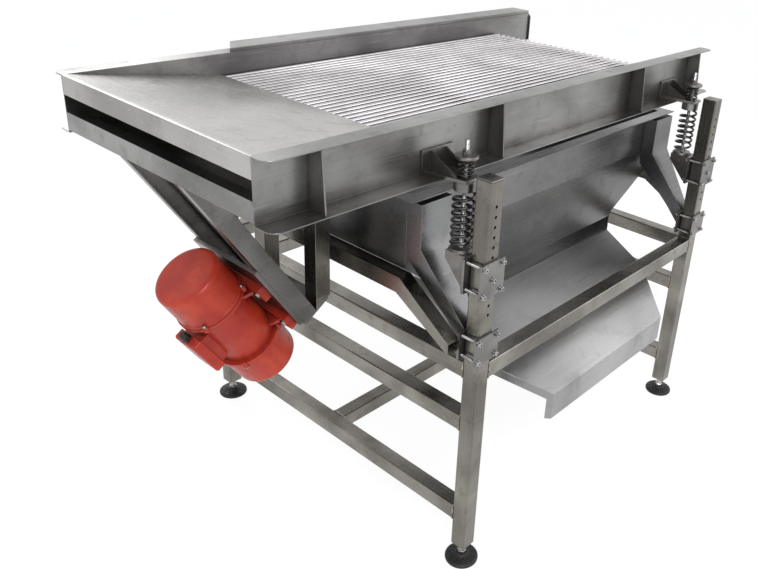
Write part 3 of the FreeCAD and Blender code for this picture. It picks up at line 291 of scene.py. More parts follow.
def black_moulding():
    """Black nylon with a fine moulded skin and pale dust."""
    material, tree, shader = new_material("black_moulding", **{"Specular IOR Level": 0.4})
    where = tree.add("ShaderNodeTexCoord").outputs["Object"]
    sheen_and_tone_group = tree.group(SHEEN_AND_TONE, {"Size": 20.0})
    dust = tree.maths("MULTIPLY", sheen_and_tone_group.outputs["Smudge"], 0.5)
    tree.link(tree.blend(dust, (0.012, 0.012, 0.014), (0.06, 0.058, 0.055)), shader.inputs["Base Color"])
    tree.link(tree.span(sheen_and_tone_group.outputs["Cloud"], 0.0, 1.0, 0.38, 0.6), shader.inputs["Roughness"])
    skin_grain = tree.noise({"Scale": 900.0, "Detail": 2.0}, {"Vector": where})
    tree.link(tree.bump(0.15, 0.0003, skin_grain), shader.inputs["Normal"])
    return material


def weld_metal():
    """Heat-stained weld bead: straw, brown and blue-grey bands."""
    material, tree, shader = new_material("weld_metal", Metallic=1.0)
    sheen_and_tone_group = tree.group(SHEEN_AND_TONE, {"Size": 40.0})
    smudge = sheen_and_tone_group.outputs["Smudge"]
    straw = tree.blend(sheen_and_tone_group.outputs["Cloud"], (0.24, 0.19, 0.13), (0.46, 0.42, 0.36))
    tree.link(tree.blend(smudge, straw, (0.10, 0.10, 0.13)), shader.inputs["Base Color"])
    tree.link(tree.span(smudge, 0.0, 1.0, 0.32, 0.55), shader.inputs["Roughness"])
    return material


# Darkest and lightest tone of each steel; the sheen patches that mostly blend between them are a painted
# reflection.
DARK_TUBE, LIGHT_TUBE = (0.125, 0.115, 0.10), (0.33, 0.315, 0.285)
DARK_SHEET, LIGHT_SHEET = (0.15, 0.147, 0.144), (0.35, 0.347, 0.343)
DARK_PLATE, LIGHT_PLATE = (0.14, 0.135, 0.128), (0.32, 0.312, 0.302)

MATERIALS = {
    "tube_x": steel("tube_steel_x", DARK_TUBE, LIGHT_TUBE, 0.26, ALONG_X, 4.0),
    "tube_y": steel("tube_steel_y", DARK_TUBE, LIGHT_TUBE, 0.26, ALONG_Y, 4.0),
    "tube_z": steel("tube_steel_z", DARK_TUBE, LIGHT_TUBE, 0.26, ALONG_Z, 4.0),
    "channel": steel("channel_steel", DARK_SHEET, LIGHT_SHEET, 0.30, ALONG_X, 3.0, scratch=0.6),
    "pan": steel("pan_steel", (0.24, 0.235, 0.23), (0.52, 0.51, 0.50), 0.24, ALONG_Y, 2.2, scratch=0.7),
    "hopper": steel("hopper_steel", (0.11, 0.11, 0.112), (0.27, 0.272, 0.275), 0.28, ALONG_X, 1.8, shade_amount=0.4),
    "chute": steel("chute_steel", (0.24, 0.24, 0.243), (0.46, 0.46, 0.463), 0.30, ALONG_X, 2.0, shade_amount=0.4),
    "plate": steel("plate_steel", DARK_PLATE, LIGHT_PLATE, 0.32, SATIN, 5.0),
    "bar": steel("bar_steel", (0.42, 0.40, 0.41), (0.74, 0.72, 0.74), 0.17, ALONG_X, 3.0, shade_amount=0.3),
    "screw": steel("screw_steel", (0.30, 0.30, 0.30), (0.62, 0.62, 0.62), 0.24, SATIN, 30.0, shade_amount=0.5),
    "spring": steel("spring_steel", (0.030, 0.028, 0.027), (0.13, 0.125, 0.12), 0.26, SATIN, 18.0, shade_amount=0.3),
    "machined": steel("machined_steel", (0.20, 0.20, 0.21), (0.36, 0.36, 0.37), 0.34, SATIN, 12.0),
    "enamel": enamel(),
    "black": black_moulding(),
    "weld": weld_metal(),
}


# ---- mesh tools ------------------------------------------------------------------------------------


def keep(bm, name, material, body, stands_for=(), smooth_under=40.0):
    """Turns finished mesh work into a piece that rides on a body."""
    bmesh.ops.recalc_face_normals(bm, faces=bm.faces)
    mesh = bpy.data.meshes.new(name)
    bm.to_mesh(mesh)
    bm.free()
    mesh.polygons.foreach_set("use_smooth", [True] * len(mesh.polygons))
    mesh.set_sharp_from_angle(angle=math.radians(smooth_under))
    piece = bpy.data.objects.new(name, mesh)
    bpy.context.scene.collection.objects.link(piece)
    mesh.materials.append(MATERIALS[material])
    piece.modifiers.new("flat_faces", "WEIGHTED_NORMAL").keep_sharp = True
    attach(piece, body)
    if stands_for:
        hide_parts(*stands_for)
    return piece


def keep_for(bm, node, material, name=None):
    """The piece that stands for one node, on that node's body."""
    return keep(bm, name or f"{node}_finished", material, body_of[node], (node,))


def solid_of(node):
    """A node's solids with their flat faces whole again."""
    bm = bmesh.new()
    bm.from_mesh(nodes[node].data)
    bmesh.ops.remove_doubles(bm, verts=bm.verts, dist=1e-6)
    bmesh.ops.dissolve_limit(bm, angle_limit=math.radians(0.5), verts=bm.verts, edges=bm.edges)
    return bm


def parts_of(node):
    """Lowest and highest corner of each separate solid in a node."""
    bm = bmesh.new()
    bm.from_mesh(nodes[node].data)
    bmesh.ops.remove_doubles(bm, verts=bm.verts, dist=1e-6)
    unseen = set(bm.verts)
    boxes = []
    while unseen:
        ready = [unseen.pop()]
        found = []
        while ready:
            vert = ready.pop()
            found.append(vert.co.copy())
            for edge in vert.link_edges:
                other = edge.other_vert(vert)
                if other in unseen:
                    unseen.remove(other)
                    ready.append(other)
        low = Vector([min(point[axis] for point in found) for axis in range(3)])
        high = Vector([max(point[axis] for point in found) for axis in range(3)])
        boxes.append((low, high))
    bm.free()
    return sorted(boxes, key=lambda pair: tuple(pair[0]))


def roll_edges(bm, width):
    """Rounds every edge that turns by more than 50 degrees."""
    least = math.radians(50.0)
    sharp = [edge for edge in bm.edges if edge.is_manifold and edge.calc_face_angle(0.0) > least]
    bmesh.ops.bevel(
        bm,
        geom=sharp,
        offset=width,
        offset_type="OFFSET",
        segments=2,
        profile=0.5,
        affect="EDGES",
        clamp_overlap=True,
    )


def soften(node, material, width=0.8 * MM):
    """A node's own form with its edges rolled, as cut and folded metal has."""
    bm = solid_of(node)
    roll_edges(bm, width)
    return keep_for(bm, node, material)


def skin(bm, rings, cap=True, loop=False):
    """Side faces through rings of equal count, with flat ends or joined round to the start."""
    made = [[bm.verts.new(point) for point in ring] for ring in rings]
    count = len(made[0])
    pairs = list(zip(made, made[1:]))
    if loop:
        pairs.append((made[-1], made[0]))
    for first, second in pairs:
        for place in range(count):
            after = (place + 1) % count
            bm.faces.new((first[place], first[after], second[after], second[place]))
    if cap and not loop:
        bm.faces.new(made[0][::-1])
        bm.faces.new(made[-1])


def circle(radius, count):
    turns = [2 * math.pi * place / count for place in range(count)]
    return [(radius * math.cos(turn), radius * math.sin(turn)) for turn in turns]


def hexagon_outline(reach, count):
    """Points round a hexagon, as many as the round ring that it joins."""
    points = []
    for x, y in circle(reach, count):
        turn = math.atan2(y, x) % (math.pi / 3) - math.pi / 6
        share = math.cos(math.pi / 6) / math.cos(turn)
        points.append((x * share, y * share))
    return points


def ring_at(place, outline, level):
    """An outline set at a height in a place."""
    return [place @ Vector((x, y, level)) for x, y in outline]


def rounded_square(half, radius, steps=4):
    """Corner-rounded square outline about the origin."""
    points = []
    for corner in range(4):
        middle = math.pi / 4 + corner * math.pi / 2
        centre = Vector((math.cos(middle), math.sin(middle))) * (half - radius) * math.sqrt(2)
        for step in range(steps + 1):
            turn = middle - math.pi / 4 + math.pi / 2 * step / steps
            points.append((centre.x + radius * math.cos(turn), centre.y + radius * math.sin(turn)))
    return points


AXIS_RADIUS = 0.01 * MM


def turned(bm, profile, place, count=48):
    """Lathe work: (radius, height) points turned about the place's own Z axis."""
    skin(bm, [ring_at(place, circle(max(radius, AXIS_RADIUS), count), height) for radius, height in profile])


def rounded_profile(points, radius, steps=4):
    """The same outline with each inner corner swung through a small arc."""
    points = [Vector(point) for point in points]
    out = [points[0]]
    for before, corner, after in zip(points, points[1:], points[2:]):
        back, on = before - corner, after - corner
        reach = min(radius, back.length * 0.45, on.length * 0.45)
        start, end = corner + back.normalized() * reach, corner + on.normalized() * reach
        for step in range(steps + 1):
            t = step / steps
            out.append(start * (1 - t) ** 2 + corner * 2 * t * (1 - t) + end * t**2)
    out.append(points[-1])
    return [tuple(point) for point in out]


def sweep(bm, path, radius_at, sides=10, loop=False):
    """Round rod along a path; radius_at gives the radius at each point's number."""
    normal = None
    rings = []
    count = len(path)
    for number, point in enumerate(path):
        ahead = path[(number + 1) % count] if loop else path[min(number + 1, count - 1)]
        behind = path[number - 1] if loop else path[max(number - 1, 0)]
        along = (ahead - behind).normalized()
        if normal is None:
            normal = along.orthogonal().normalized()
        normal = (normal - along * normal.dot(along)).normalized()
        across = along.cross(normal)
        radius = radius_at(number)
        rings.append([point + (normal * x + across * y) * radius for x, y in circle(1.0, sides)])
    skin(bm, rings, loop=loop)


def facing(point, direction):
    """Place whose own Z axis points along a direction."""
    return Matrix.Translation(point) @ Vector(direction).to_track_quat("Z", "Y").to_matrix().to_4x4()


def cut_away(piece, cutter):
    """Takes a temporary cutter out of a piece."""
    mesh = bpy.data.meshes.new("cutter")
    bmesh.ops.recalc_face_normals(cutter, faces=cutter.faces)
    cutter.to_mesh(mesh)
    cutter.free()
    tool = bpy.data.objects.new("cutter", mesh)
    bpy.context.scene.collection.objects.link(tool)
    step = piece.modifiers.new("cut", "BOOLEAN")
    step.object = tool
    step.solver = "EXACT"
    graph = bpy.context.evaluated_depsgraph_get()
    shaped = bpy.data.meshes.new_from_object(piece.evaluated_get(graph))
    piece.modifiers.remove(step)
    piece.data = shaped
    shaped.polygons.foreach_set("use_smooth", [True] * len(shaped.polygons))
    shaped.set_sharp_from_angle(angle=math.radians(40.0))
    bpy.data.objects.remove(tool)


# ---- fasteners and welds ---------------------------------------------------------------------------


def socket_screw(bm, place, size):
    """Socket cap screw head standing on a washer, with its hexagon socket; size is the shank's radius."""
    washer = [(size * 1.1, 0), (size * 2.1, 0), (size * 2.1, size * 0.35), (size * 1.1, size * 0.35)]
    turned(bm, washer, place, 24)
    seat, top, reach = size * 0.3, size * 2.1, size * 1.55
    head = rounded_profile([(0, seat), (reach, seat), (reach, top), (size * 0.9, top)], size * 0.3, 3)
    rings = [ring_at(place, circle(max(radius, AXIS_RADIUS), 24), height) for radius, height in head]
    socket = hexagon_outline(size * 0.85, 24)
    rings += [ring_at(place, socket, height) for height in (top, top - size * 1.1)]
    skin(bm, rings)


def hexagon_head(bm, place, size, height):
    """Hexagon head or nut with its chamfered top."""
    flat = size * 1.85
    steps = ((flat, 0.0), (flat, height * 0.82), (flat * 0.88, height))
    skin(bm, [ring_at(place, circle(reach, 6), level) for reach, level in steps])


def threaded(bm, place, radius, length, pitch):
    """Rod with rolled thread ridges."""
    depth = pitch * 0.3
    profile = [(0.0, 0.0), (radius - depth, 0.0)]
    for number in range(int(length / pitch)):
        start = number * pitch
        profile += [(radius - depth, start + pitch * 0.15), (radius, start + pitch * 0.5)]
    profile += [(radius - depth, length - 0.3 * MM), (0.0, length)]
    turned(bm, profile, place, 16)


def weld_line(bm, points, radius, loop=False):
    """Rippled bead along straight runs between points."""
    path = []
    ends = points + points[:1] if loop else points
    for first, second in zip(ends, ends[1:]):
        count = max(2, round((second - first).length / (1.8 * MM)))
        path += [first.lerp(second, step / count) for step in range(count)]
    if not loop:
        path.append(points[-1])

    def ripple(number):
        return radius * (1.0 + 0.18 * math.sin(number * 1.9) + 0.07 * math.sin(number * 0.61))

    sweep(bm, path, ripple, 8, loop)


# ---- frame -----------------------------------------------------------------------------------------

TUBE_CORNER = 4.5 * MM
TUBE_WALL = 3.0 * MM


def longest(low, high):
    size = high - low
    return max(range(3), key=lambda axis: size[axis])


def tube_mesh(bm, low, high, axis):
    """Rolled square tube filling a box, open at both ends."""
    middle = (low + high) / 2
    others = [other for other in range(3) if other != axis]
    half = (high[others[0]] - low[others[0]]) / 2
    rings = []
    shapes = (
        (rounded_square(half, TUBE_CORNER), low[axis], high[axis]),
        (rounded_square(half - TUBE_WALL, TUBE_CORNER - 2.5 * MM), high[axis], low[axis]),
    )
    for shape, first, last in shapes:
        for level in (first, last):
            ring = []
            for across, up in shape:
                point = middle.copy()
                point[axis] = level
                point[others[0]] += across
                point[others[1]] += up
                ring.append(point)
            rings.append(ring)
    skin(bm, rings, loop=True)


def end_welds(bm, low, high, axis):
    """Beads round both ends of a tube, where it meets its neighbours."""
    middle = (low + high) / 2
    others = [other for other in range(3) if other != axis]
    half = (high[others[0]] - low[others[0]]) / 2
    for level in (low[axis] + 0.8 * MM, high[axis] - 0.8 * MM):
        points = []
        for across, up in rounded_square(half + 0.2 * MM, TUBE_CORNER, 3):
            point = middle.copy()
            point[axis] = level
            point[others[0]] += across
            point[others[1]] += up
            points.append(point)
        weld_line(bm, points, 2.2 * MM, loop=True)


HOLE_RADIUS = 4.5 * MM
HOLE_CUT = 12 * MM


def make_legs():
    for corner in CORNERS:
        node = f"{corner}_leg"
        low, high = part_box(node)
        bm = bmesh.new()
        tube_mesh(bm, low, high, 2)
        leg = keep_for(bm, node, "tube_z")
        side = SIDES[corner.split("_")[0]]
        cutter = bmesh.new()
        face = high.y if side > 0 else low.y
        for level in leg_hole_levels(node):
            centre = Vector(((low.x + high.x) / 2, face - side * HOLE_CUT / 2, level))
            plug = [(0, 0), (HOLE_RADIUS, 0), (HOLE_RADIUS, HOLE_CUT), (0, HOLE_CUT)]
            turned(cutter, plug, facing(centre, (0, side, 0)), 24)
        cut_away(leg, cutter)


def leg_hole_levels(node):
    """Heights of the adjusting holes, read from the leg's own solid."""
    low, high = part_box(node)
    middle = (low.x + high.x) / 2
    levels = sorted(
        vert.co.z
        for vert in nodes[node].data.vertices
        if abs(vert.co.x - middle) < HOLE_RADIUS + 0.1 * MM and low.z + MM < vert.co.z < high.z - MM
    )
    found = []
    for level in levels:
        if not found or level - found[-1][0] > 12 * MM:
            found.append([level, level])
        found[-1][1] = level
    return [(first + last) / 2 for first, last in found]


def make_rails():
    welds = bmesh.new()
    for node in (*RAILS, "low_rails", "chute_rails"):
        boxes = parts_of(node)
        for number, (low, high) in enumerate(boxes):
            axis = longest(low, high)
            bm = bmesh.new()
            tube_mesh(bm, low, high, axis)
            name = f"{node}_finished" if len(boxes) == 1 else f"{node}_{number + 1}"
            keep_for(bm, node, "tube_x" if axis == 0 else "tube_y", name)
            end_welds(welds, low, high, axis)
    keep(welds, "frame_welds", "weld", "frame")


FOOT_RIBS = 12
FOOT_STEM = 22 * MM


def raised(place, height):
    """The same place higher along its own axis."""
    return place @ Matrix.Translation((0, 0, height))


def make_caps_and_feet():
    soften("leg_caps", "tube_z", 2.0 * MM)
    soften("leg_plugs", "plate", 0.5 * MM)
    for corner in CORNERS:
        node = f"{corner}_foot"
        low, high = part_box(node)
        centre = (low + high) / 2
        place = Matrix.Translation((centre.x, centre.y, low.z))
        radius = (high.x - low.x) / 2
        body = body_of[node]
        dome = [
            (0, 0),
            (radius, 0),
            (radius, 9 * MM),
            (radius - 7 * MM, 12.5 * MM),
            (22 * MM, 17 * MM),
            (18 * MM, 23 * MM),
            (0, 23 * MM),
        ]
        pad = bmesh.new()
        turned(pad, rounded_profile(dome, 3 * MM), place, 64)
        starts = ring_at(place, circle(20 * MM, FOOT_RIBS), 17.5 * MM)
        ends = ring_at(place, circle(radius - 6 * MM, FOOT_RIBS), 12.0 * MM)
        for start, end in zip(starts, ends):
            sweep(pad, [start, end], lambda number: 1.6 * MM, 8)
        keep(pad, f"{corner}_foot_pad", "black", body, (node,))
        stem = bmesh.new()
        threaded(stem, raised(place, FOOT_STEM), 8.9 * MM, high.z - low.z - FOOT_STEM, 2.0 * MM)
        for nut in (23 * MM, 48 * MM):
            hexagon_head(stem, raised(place, nut), 7.5 * MM, 9 * MM)
        keep(stem, f"{corner}_foot_stem", "screw", body)


# ---- clamps and springs ----------------------------------------------------------------------------


def make_clamps():
    for corner in CORNERS:
        soften(f"{corner}_upper_clamp", "plate", 1.0 * MM)
    soften("lower_clamps", "plate", 1.0 * MM)
    screws = bmesh.new()
    for low, high in parts_of("clamp_bolts"):
        middle = (low + high) / 2
        side = NEAR if middle.y < 0 else FAR
        outer = high.y if side > 0 else low.y
        seat = outer - side * 6 * MM
        socket_screw(screws, facing(Vector((middle.x, seat, middle.z)), (0, side, 0)), 4 * MM)
        inner = low.y if side > 0 else high.y
        length = abs(seat - inner) + 9 * MM
        threaded(screws, facing(Vector((middle.x, seat, middle.z)), (0, -side, 0)), 4 * MM, length, 1.25 * MM)
        hexagon_head(screws, facing(Vector((middle.x, inner, middle.z)), (0, -side, 0)), 4 * MM, 6 * MM)
    keep_for(screws, "clamp_bolts", "screw")
    spots = bmesh.new()
    for corner in CORNERS:
        low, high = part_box(f"{corner}_upper_clamp")
        side = SIDES[corner.split("_")[0]]
        leg_low, leg_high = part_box(f"{corner}_leg")
        face = leg_high.y if side > 0 else leg_low.y
        middle = Vector(((low.x + high.x) / 2, face + side * 6 * MM, (low.z + high.z) / 2 - 2 * MM))
        socket_screw(spots, facing(middle, (0, side, 0)), 4 * MM)
    keep(spots, "clamp_centre_screws", "screw", "frame")


MAIN_COIL_RADIUS = 31 * MM
TOP_COIL_RADIUS = 21.5 * MM
CUP_RADIUS = 33 * MM
COLLAR_RADIUS = 29 * MM
CAP_PLATE_RADIUS = 31 * MM


def coil(bm, centre, bottom, top, radius, wire, turns):
    """Compression spring with closed, flattened end turns."""
    steps = 28
    total = round(turns * steps)
    path = []
    free = top - bottom - wire
    for number in range(total + 1):
        turn = number / steps
        closed = 0.9
        if turn < closed:
            rise = 0.15 * turn / closed
        elif turn > turns - closed:
            rise = 1.0 - 0.15 * (turns - turn) / closed
        else:
            rise = 0.15 + 0.7 * (turn - closed) / (turns - 2 * closed)
        angle = 2 * math.pi * turn
        spot = Vector((radius * math.cos(angle), radius * math.sin(angle), wire / 2 + free * rise))
        path.append(Vector((centre.x, centre.y, bottom)) + spot)
    sweep(bm, path, lambda number: wire / 2, 12)


def make_springs():
    for node, outer, wire, turns, lower, upper in (
        ("main_springs", MAIN_COIL_RADIUS, 8 * MM, 7.2, "frame", "deck"),
        ("top_springs", TOP_COIL_RADIUS, 6 * MM, 4.2, "deck", "frame"),
    ):
        for number, (low, high) in enumerate(parts_of(node)):
            centre = (low + high) / 2
            radius = outer - wire / 2
            bm = bmesh.new()
            coil(bm, centre, low.z, high.z, radius, wire, turns)
            mesh = bpy.data.meshes.new(f"{node}_{number + 1}")
            bmesh.ops.recalc_face_normals(bm, faces=bm.faces)
            bm.to_mesh(mesh)
            bm.free()
            mesh.polygons.foreach_set("use_smooth", [True] * len(mesh.polygons))
            mesh.materials.append(MATERIALS["spring"])
            piece = bpy.data.objects.new(mesh.name, mesh)
            bpy.context.scene.collection.objects.link(piece)
            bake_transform(piece)
            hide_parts(node)


def make_spring_seats():
    cups, rods, plates = bmesh.new(), bmesh.new(), bmesh.new()
    for low, high in parts_of("spring_cups"):
        centre = (low + high) / 2
        radius = CUP_RADIUS
        height = high.z - low.z
        place = Matrix.Translation((centre.x, centre.y, low.z))
        profile = [(6.4 * MM, 0), (radius, 0), (radius, height * 0.45), (radius - 3 * MM, height * 0.5)]
        profile += [(radius - 3 * MM, height), (6.4 * MM, height)]
        turned(cups, rounded_profile(profile, 1.2 * MM), place)
    for low, high in parts_of("spring_rods"):
        centre = (low + high) / 2
        place = Matrix.Translation((centre.x, centre.y, low.z))
        threaded(rods, place, (high.x - low.x) / 2 * 0.99, high.z - low.z, 1.75 * MM)
    collars = bmesh.new()
    for low, high in parts_of("main_springs"):
        centre = (low + high) / 2
        place = Matrix.Translation((centre.x, centre.y, high.z + 0.3 * MM))
        profile = [(7 * MM, 0), (COLLAR_RADIUS, 0), (COLLAR_RADIUS, 26 * MM), (7 * MM, 26 * MM)]
        turned(collars, rounded_profile(profile, 2.0 * MM), place)
    keep(collars, "spring_collars", "plate", "deck")
    for low, high in parts_of("top_plates"):
        centre = (low + high) / 2
        radius = CAP_PLATE_RADIUS
        place = Matrix.Translation((centre.x, centre.y, low.z))
        profile = [(6.4 * MM, 0), (radius, 0), (radius, 8 * MM), (6.4 * MM, 8 * MM)]
        turned(plates, rounded_profile(profile, 2.0 * MM), place)
        hexagon_head(plates, raised(place, 8 * MM), 5.9 * MM, 7 * MM)
        turned_nut = place @ Matrix.Rotation(0.4, 4, "Z")
        hexagon_head(plates, raised(turned_nut, 15.2 * MM), 5.9 * MM, 6.6 * MM)
    keep_for(cups, "spring_cups", "plate")
    keep_for(rods, "spring_rods", "screw")
    keep_for(plates, "top_plates", "plate")


# ---- hopper and chute ------------------------------------------------------------------------------


NEAR_WALL_FOLD = 980 * MM
NEAR_WALL_FOOT = 735 * MM
NEAR_WALL_LEAN = 40 * MM
HOPPER_FLANGE = 40 * MM
HOPPER_SHEET = 3 * MM
HOPPER_SHEAR_DEPTH = 15 * MM


def make_near_wall():
    """The hopper's near wall above its leaning panel, with the ends of the end walls that meet it."""
    low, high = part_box("hopper")
    left, right = low.x + HOPPER_FLANGE, high.x - HOPPER_FLANGE
    outer = low.y + HOPPER_FLANGE
    inner = outer + HOPPER_SHEET
    back = outer + HOPPER_SHEAR_DEPTH
    drop = (NEAR_WALL_FOLD - NEAR_WALL_FOOT) / NEAR_WALL_LEAN
    meeting = NEAR_WALL_FOLD - (back - inner) * drop
    foot = NEAR_WALL_FOLD - (back - outer) * drop
    thin = 0.2 * MM
    bm = bmesh.new()
    rings = []
    for level, front, rear, inset in (
        (high.z - HOPPER_SHEET, outer, inner, 0.0),
        (NEAR_WALL_FOLD, outer, inner, 0.0),
        (meeting, back - (meeting - foot) / drop, back - thin, 0.0),
        (foot, back - thin, back - thin / 2, 15 * MM),
    ):
        plan = (
            (left + inset, back), (left + inset, front), (right - inset, front), (right - inset, back),
            (right - inset - HOPPER_SHEET, back), (right - inset - HOPPER_SHEET, rear),
            (left + inset + HOPPER_SHEET, rear), (left + inset + HOPPER_SHEET, back),
        )
        rings.append([Vector((x, y, level)) for x, y in plan])
    skin(bm, rings)
    keep(bm, "hopper_near_wall", "hopper", "frame", smooth_under=5.0)


def make_hopper():
    soften("hopper", "hopper", 0.9 * MM)
    make_near_wall()
    soften("chute", "chute", 0.9 * MM)
    soften("hopper_yokes", "tube_y", 1.2 * MM)
    for corner in CORNERS:
        soften(f"{corner}_arm", "hopper", 1.2 * MM)


# ---- deck ------------------------------------------------------------------------------------------


DECK_SIDES = ("near_side_channel", "far_side_channel")
END_SHELF_DEPTH = 260 * MM


def make_end_shelf():
    """Plain sheet behind the end beam that closes the deck's underside over the motor mount."""
    low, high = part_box("end_beam")
    back = high.x + END_SHELF_DEPTH
    bm = bmesh.new()
    rings = []
    for level in (low.z + 1 * MM, low.z + 4 * MM):
        corners = ((high.x, low.y), (back, low.y), (back, high.y), (high.x, high.y))
        rings.append([Vector((x, y, level)) for x, y in corners])
    skin(bm, rings)
    roll_edges(bm, 0.8 * MM)
    keep(bm, "end_shelf", "channel", "deck")


def make_deck():
    for node in (*DECK_SIDES, "far_guard", "guard_end_plate", "deck_ribs", "end_beam"):
        soften(node, "channel", 0.9 * MM)
    soften("infeed_pan", "pan", 0.9 * MM)
    make_end_shelf()
    soften("cross_bars", "plate", 0.8 * MM)
    soften("strut_beam", "tube_y", 1.2 * MM)
    soften("spring_brackets", "plate", 1.0 * MM)
    for node in ("mount_channels", "motor_base_plate", "mount_end_plate"):
        soften(node, "plate", 1.0 * MM)
    soften("mount_struts", "tube_z", 1.3 * MM)
    bars = bmesh.new()
    for low, high in parts_of("grate_bars"):
        centre = (low + high) / 2
        radius = (high.y - low.y) / 2
        length = high.x - low.x
        profile = [(0, 0), (radius, 0), (radius, length), (0, length)]
        place = facing(Vector((low.x, centre.y, centre.z)), (1, 0, 0))
        turned(bars, rounded_profile(profile, 1.5 * MM, 3), place, 24)
    keep_for(bars, "grate_bars", "bar")


# ---- motor -----------------------------------------------------------------------------------------


def motor_place():
    """Own frame of the motor: Z along the shaft, X towards the mount."""
    joint = joints["rotor_spin"]
    shaft = Vector(joint["axis"]).normalized()
    across = Vector((0, 1, 0))
    toward = across.cross(shaft)
    turn = Matrix((toward, across, shaft)).transposed().to_4x4()
    return Matrix.Translation(joint["pos_m"]) @ turn


GLAND_BORE = 6.5 * MM


def local_box(node, place):
    """A node's box in the motor's own frame."""
    back = place.inverted()
    points = [back @ vert.co for vert in nodes[node].data.vertices]
    low = Vector([min(point[axis] for point in points) for axis in range(3)])
    high = Vector([max(point[axis] for point in points) for axis in range(3)])
    return low, high


CAP_SCREW_LUGS = 4
LUG_RADIUS = 9 * MM
LUG_HEIGHT = 20 * MM
MOTOR_FOOT_FACE = 82 * MM
BASE_PLATE_FACE = 112 * MM


def make_cap_screws(place):
    """Cast lugs on the flanges that the caps screw to, each with its screw."""
    outline = [
        (0, 0),
        (LUG_RADIUS * 0.6, 0),
        (LUG_RADIUS, 8 * MM),
        (LUG_RADIUS, LUG_HEIGHT),
        (0, LUG_HEIGHT),
    ]
    lugs, screws = bmesh.new(), bmesh.new()
    for node, hand in (("upper_motor_cap", 1), ("lower_motor_cap", -1)):
        low, high = local_box(node, place)
        reach = (high.y - low.y) / 2 + 1 * MM
        joint = low.z if hand > 0 else high.z
        for number in range(CAP_SCREW_LUGS):
            turn = math.pi / 4 + 2 * math.pi * number / CAP_SCREW_LUGS
            foot = Vector((reach * math.cos(turn), reach * math.sin(turn), joint - hand * 14 * MM))
            seat = place @ Matrix.Translation(foot)
            if hand < 0:
                seat = seat @ Matrix.Rotation(math.pi, 4, "X")
            turned(lugs, rounded_profile(outline, 2 * MM), seat, 24)
            socket_screw(screws, raised(seat, LUG_HEIGHT), 3 * MM)
    keep(lugs, "motor_cap_lugs", "enamel", "deck")
    keep(screws, "motor_cap_screws", "screw", "deck")


def make_motor():
    place = motor_place()
    soften("motor_housing", "enamel", 1.5 * MM)
    for node, hand in (("upper_motor_cap", 1), ("lower_motor_cap", -1)):
        low, high = local_box(node, place)
        radius = (high.y - low.y) / 2
        near, end = (low.z, high.z) if hand > 0 else (high.z, low.z)
        profile = [(radius - 5 * MM, near), (radius, near), (radius, near + hand * 8 * MM)]
        profile += [(radius - 3 * MM, near + hand * 9 * MM), (radius - 6 * MM, end), (0, end)]
        shell = rounded_profile(profile[:-1], 1.2 * MM, 3)
        crown = rounded_profile([shell[-2], shell[-1], (0, end)], 15 * MM, 8)
        cap = bmesh.new()
        turned(cap, shell[:-1] + crown[1:], place, 96)
        keep_for(cap, node, "enamel")
    make_cap_screws(place)
    soften("terminal_box", "enamel", 2.5 * MM)
    low, high = local_box("cable_gland", place)
    middle = (low + high) / 2
    seat = place @ Matrix.Translation((middle.x, middle.y, low.z))
    gland = bmesh.new()
    hexagon_head(gland, seat, 7.0 * MM, 9 * MM)
    dome = [
        (GLAND_BORE, 8 * MM),
        (11.5 * MM, 8 * MM),
        (11.5 * MM, 20 * MM),
        (8.5 * MM, 26 * MM),
        (GLAND_BORE, 26 * MM),
    ]
    turned(gland, rounded_profile(dome, 2 * MM), seat, 32)
    keep_for(gland, "cable_gland", "black")
    bolts = bmesh.new()
    for low, high in parts_of("motor_bolts"):
        centre = (low + high) / 2
        back = place.inverted() @ centre
        for level, hand in ((MOTOR_FOOT_FACE, -1), (BASE_PLATE_FACE, 1)):
            spot = place @ Vector((level, back.y, back.z))
            hexagon_head(bolts, facing(spot, place.to_3x3() @ Vector((hand, 0, 0))), 6 * MM, 8 * MM)
    keep_for(bolts, "motor_bolts", "screw")
    for node in ("stator_core", "motor_bearings", "eccentric_weights", "rotor_shaft"):
        nodes[node].data.materials.clear()
        nodes[node].data.materials.append(MATERIALS["machined"])


# ---- studio ----------------------------------------------------------------------------------------

CAMERA_PLACE = (-1.8746, -1.6814, 1.8872)
CAMERA_TURN = (
    (0.64537, 0.27104, -0.71416),
    (-0.76089, 0.31060, -0.56972),
    (0.06740, 0.91108, 0.40668),
)
CAMERA_LENS = 38.04
CAMERA_SHIFT = (-0.1308, -0.0727)
FLOOR_REACH = 30.0
FLOOR_LEVEL = -0.0005


def make_camera():
    data = bpy.data.cameras.new("camera")
    data.sensor_width = 36.0
    data.lens = CAMERA_LENS
    data.shift_x, data.shift_y = CAMERA_SHIFT
    camera = bpy.data.objects.new("camera", data)
    bpy.context.scene.collection.objects.link(camera)
    camera.matrix_world = Matrix.Translation(CAMERA_PLACE) @ Matrix(CAMERA_TURN).to_4x4()
    bpy.context.scene.camera = camera


def seen_white(tree, plain, white):
    """Shows white to the eye and in reflections, and the plain shader to everything else."""
    path = tree.add("ShaderNodeLightPath")
    seen = tree.maths("MAXIMUM", path.outputs["Is Camera Ray"], path.outputs["Is Glossy Ray"])
    seen = tree.maths("MAXIMUM", seen, path.outputs["Is Transmission Ray"])
    mix = tree.add("ShaderNodeMixShader", links={"Fac": seen})
    tree.link(plain, mix.inputs[1])
    tree.link(white, mix.inputs[2])
    return mix.outputs["Shader"]


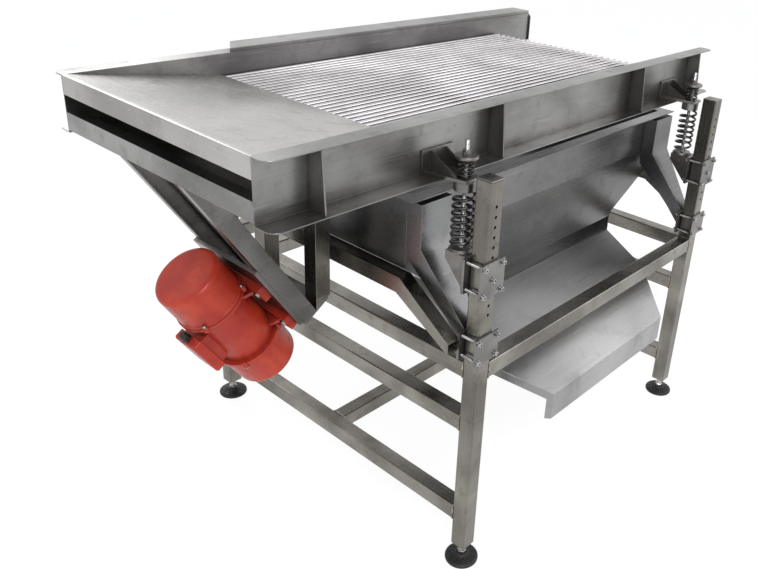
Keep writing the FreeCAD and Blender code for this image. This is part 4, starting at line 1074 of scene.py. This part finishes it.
def make_studio():
    world = bpy.data.worlds.new("studio")
    world.use_nodes = True
    bpy.context.scene.world = world
    tree = Tree(world.node_tree)
    world.node_tree.nodes.clear()
    soft = tree.add("ShaderNodeBackground", {"Color": (0.95, 0.97, 1.0, 1.0), "Strength": 0.55})
    white = tree.add("ShaderNodeBackground", {"Color": (1.0, 1.0, 1.0, 1.0), "Strength": 1.0})
    end = tree.add("ShaderNodeOutputWorld")
    tree.link(seen_white(tree, soft.outputs[0], white.outputs[0]), end.inputs["Surface"])
    bm = bmesh.new()
    corners = (
        (-FLOOR_REACH, -FLOOR_REACH),
        (FLOOR_REACH, -FLOOR_REACH),
        (FLOOR_REACH, FLOOR_REACH),
        (-FLOOR_REACH, FLOOR_REACH),
    )
    bm.faces.new([bm.verts.new((x, y, FLOOR_LEVEL)) for x, y in corners])
    mesh = bpy.data.meshes.new("floor")
    bm.to_mesh(mesh)
    bm.free()
    floor = bpy.data.objects.new("floor", mesh)
    bpy.context.scene.collection.objects.link(floor)
    material, tree, shader = new_material("pale_floor", Roughness=0.9)
    shader.inputs["Base Color"].default_value = (0.9, 0.9, 0.9, 1.0)
    shader.inputs["Specular IOR Level"].default_value = 0.0
    glow = tree.add("ShaderNodeEmission", {"Color": (1.0, 1.0, 1.0, 1.0), "Strength": 1.12})
    partly = tree.add("ShaderNodeMixShader", {"Fac": 0.8})
    tree.link(shader.outputs["BSDF"], partly.inputs[1])
    tree.link(glow.outputs[0], partly.inputs[2])
    end = tree.tree.nodes["Material Output"]
    tree.link(seen_white(tree, shader.outputs["BSDF"], partly.outputs[0]), end.inputs["Surface"])
    mesh.materials.append(material)
    for name, spot, aim, size, power in (
        ("key", (-2.6, -3.4, 4.2), (0, 0, 0.8), 2.6, 135.0),
        ("fill", (3.2, -3.0, 2.6), (0, 0, 0.7), 3.0, 40.0),
        ("rim", (0.5, 4.0, 3.5), (0, 0, 0.9), 2.4, 55.0),
    ):
        data = bpy.data.lights.new(name, "AREA")
        data.shape = "DISK"
        data.size = size
        data.energy = power
        lamp = bpy.data.objects.new(name, data)
        bpy.context.scene.collection.objects.link(lamp)
        lamp.location = spot
        lamp.rotation_euler = (Vector(aim) - Vector(spot)).to_track_quat("-Z", "Y").to_euler()
    bpy.context.scene.view_settings.view_transform = "Standard"


make_legs()
make_rails()
make_caps_and_feet()
make_clamps()
make_springs()
make_spring_seats()
make_hopper()
make_deck()
make_motor()
make_camera()
make_studio()
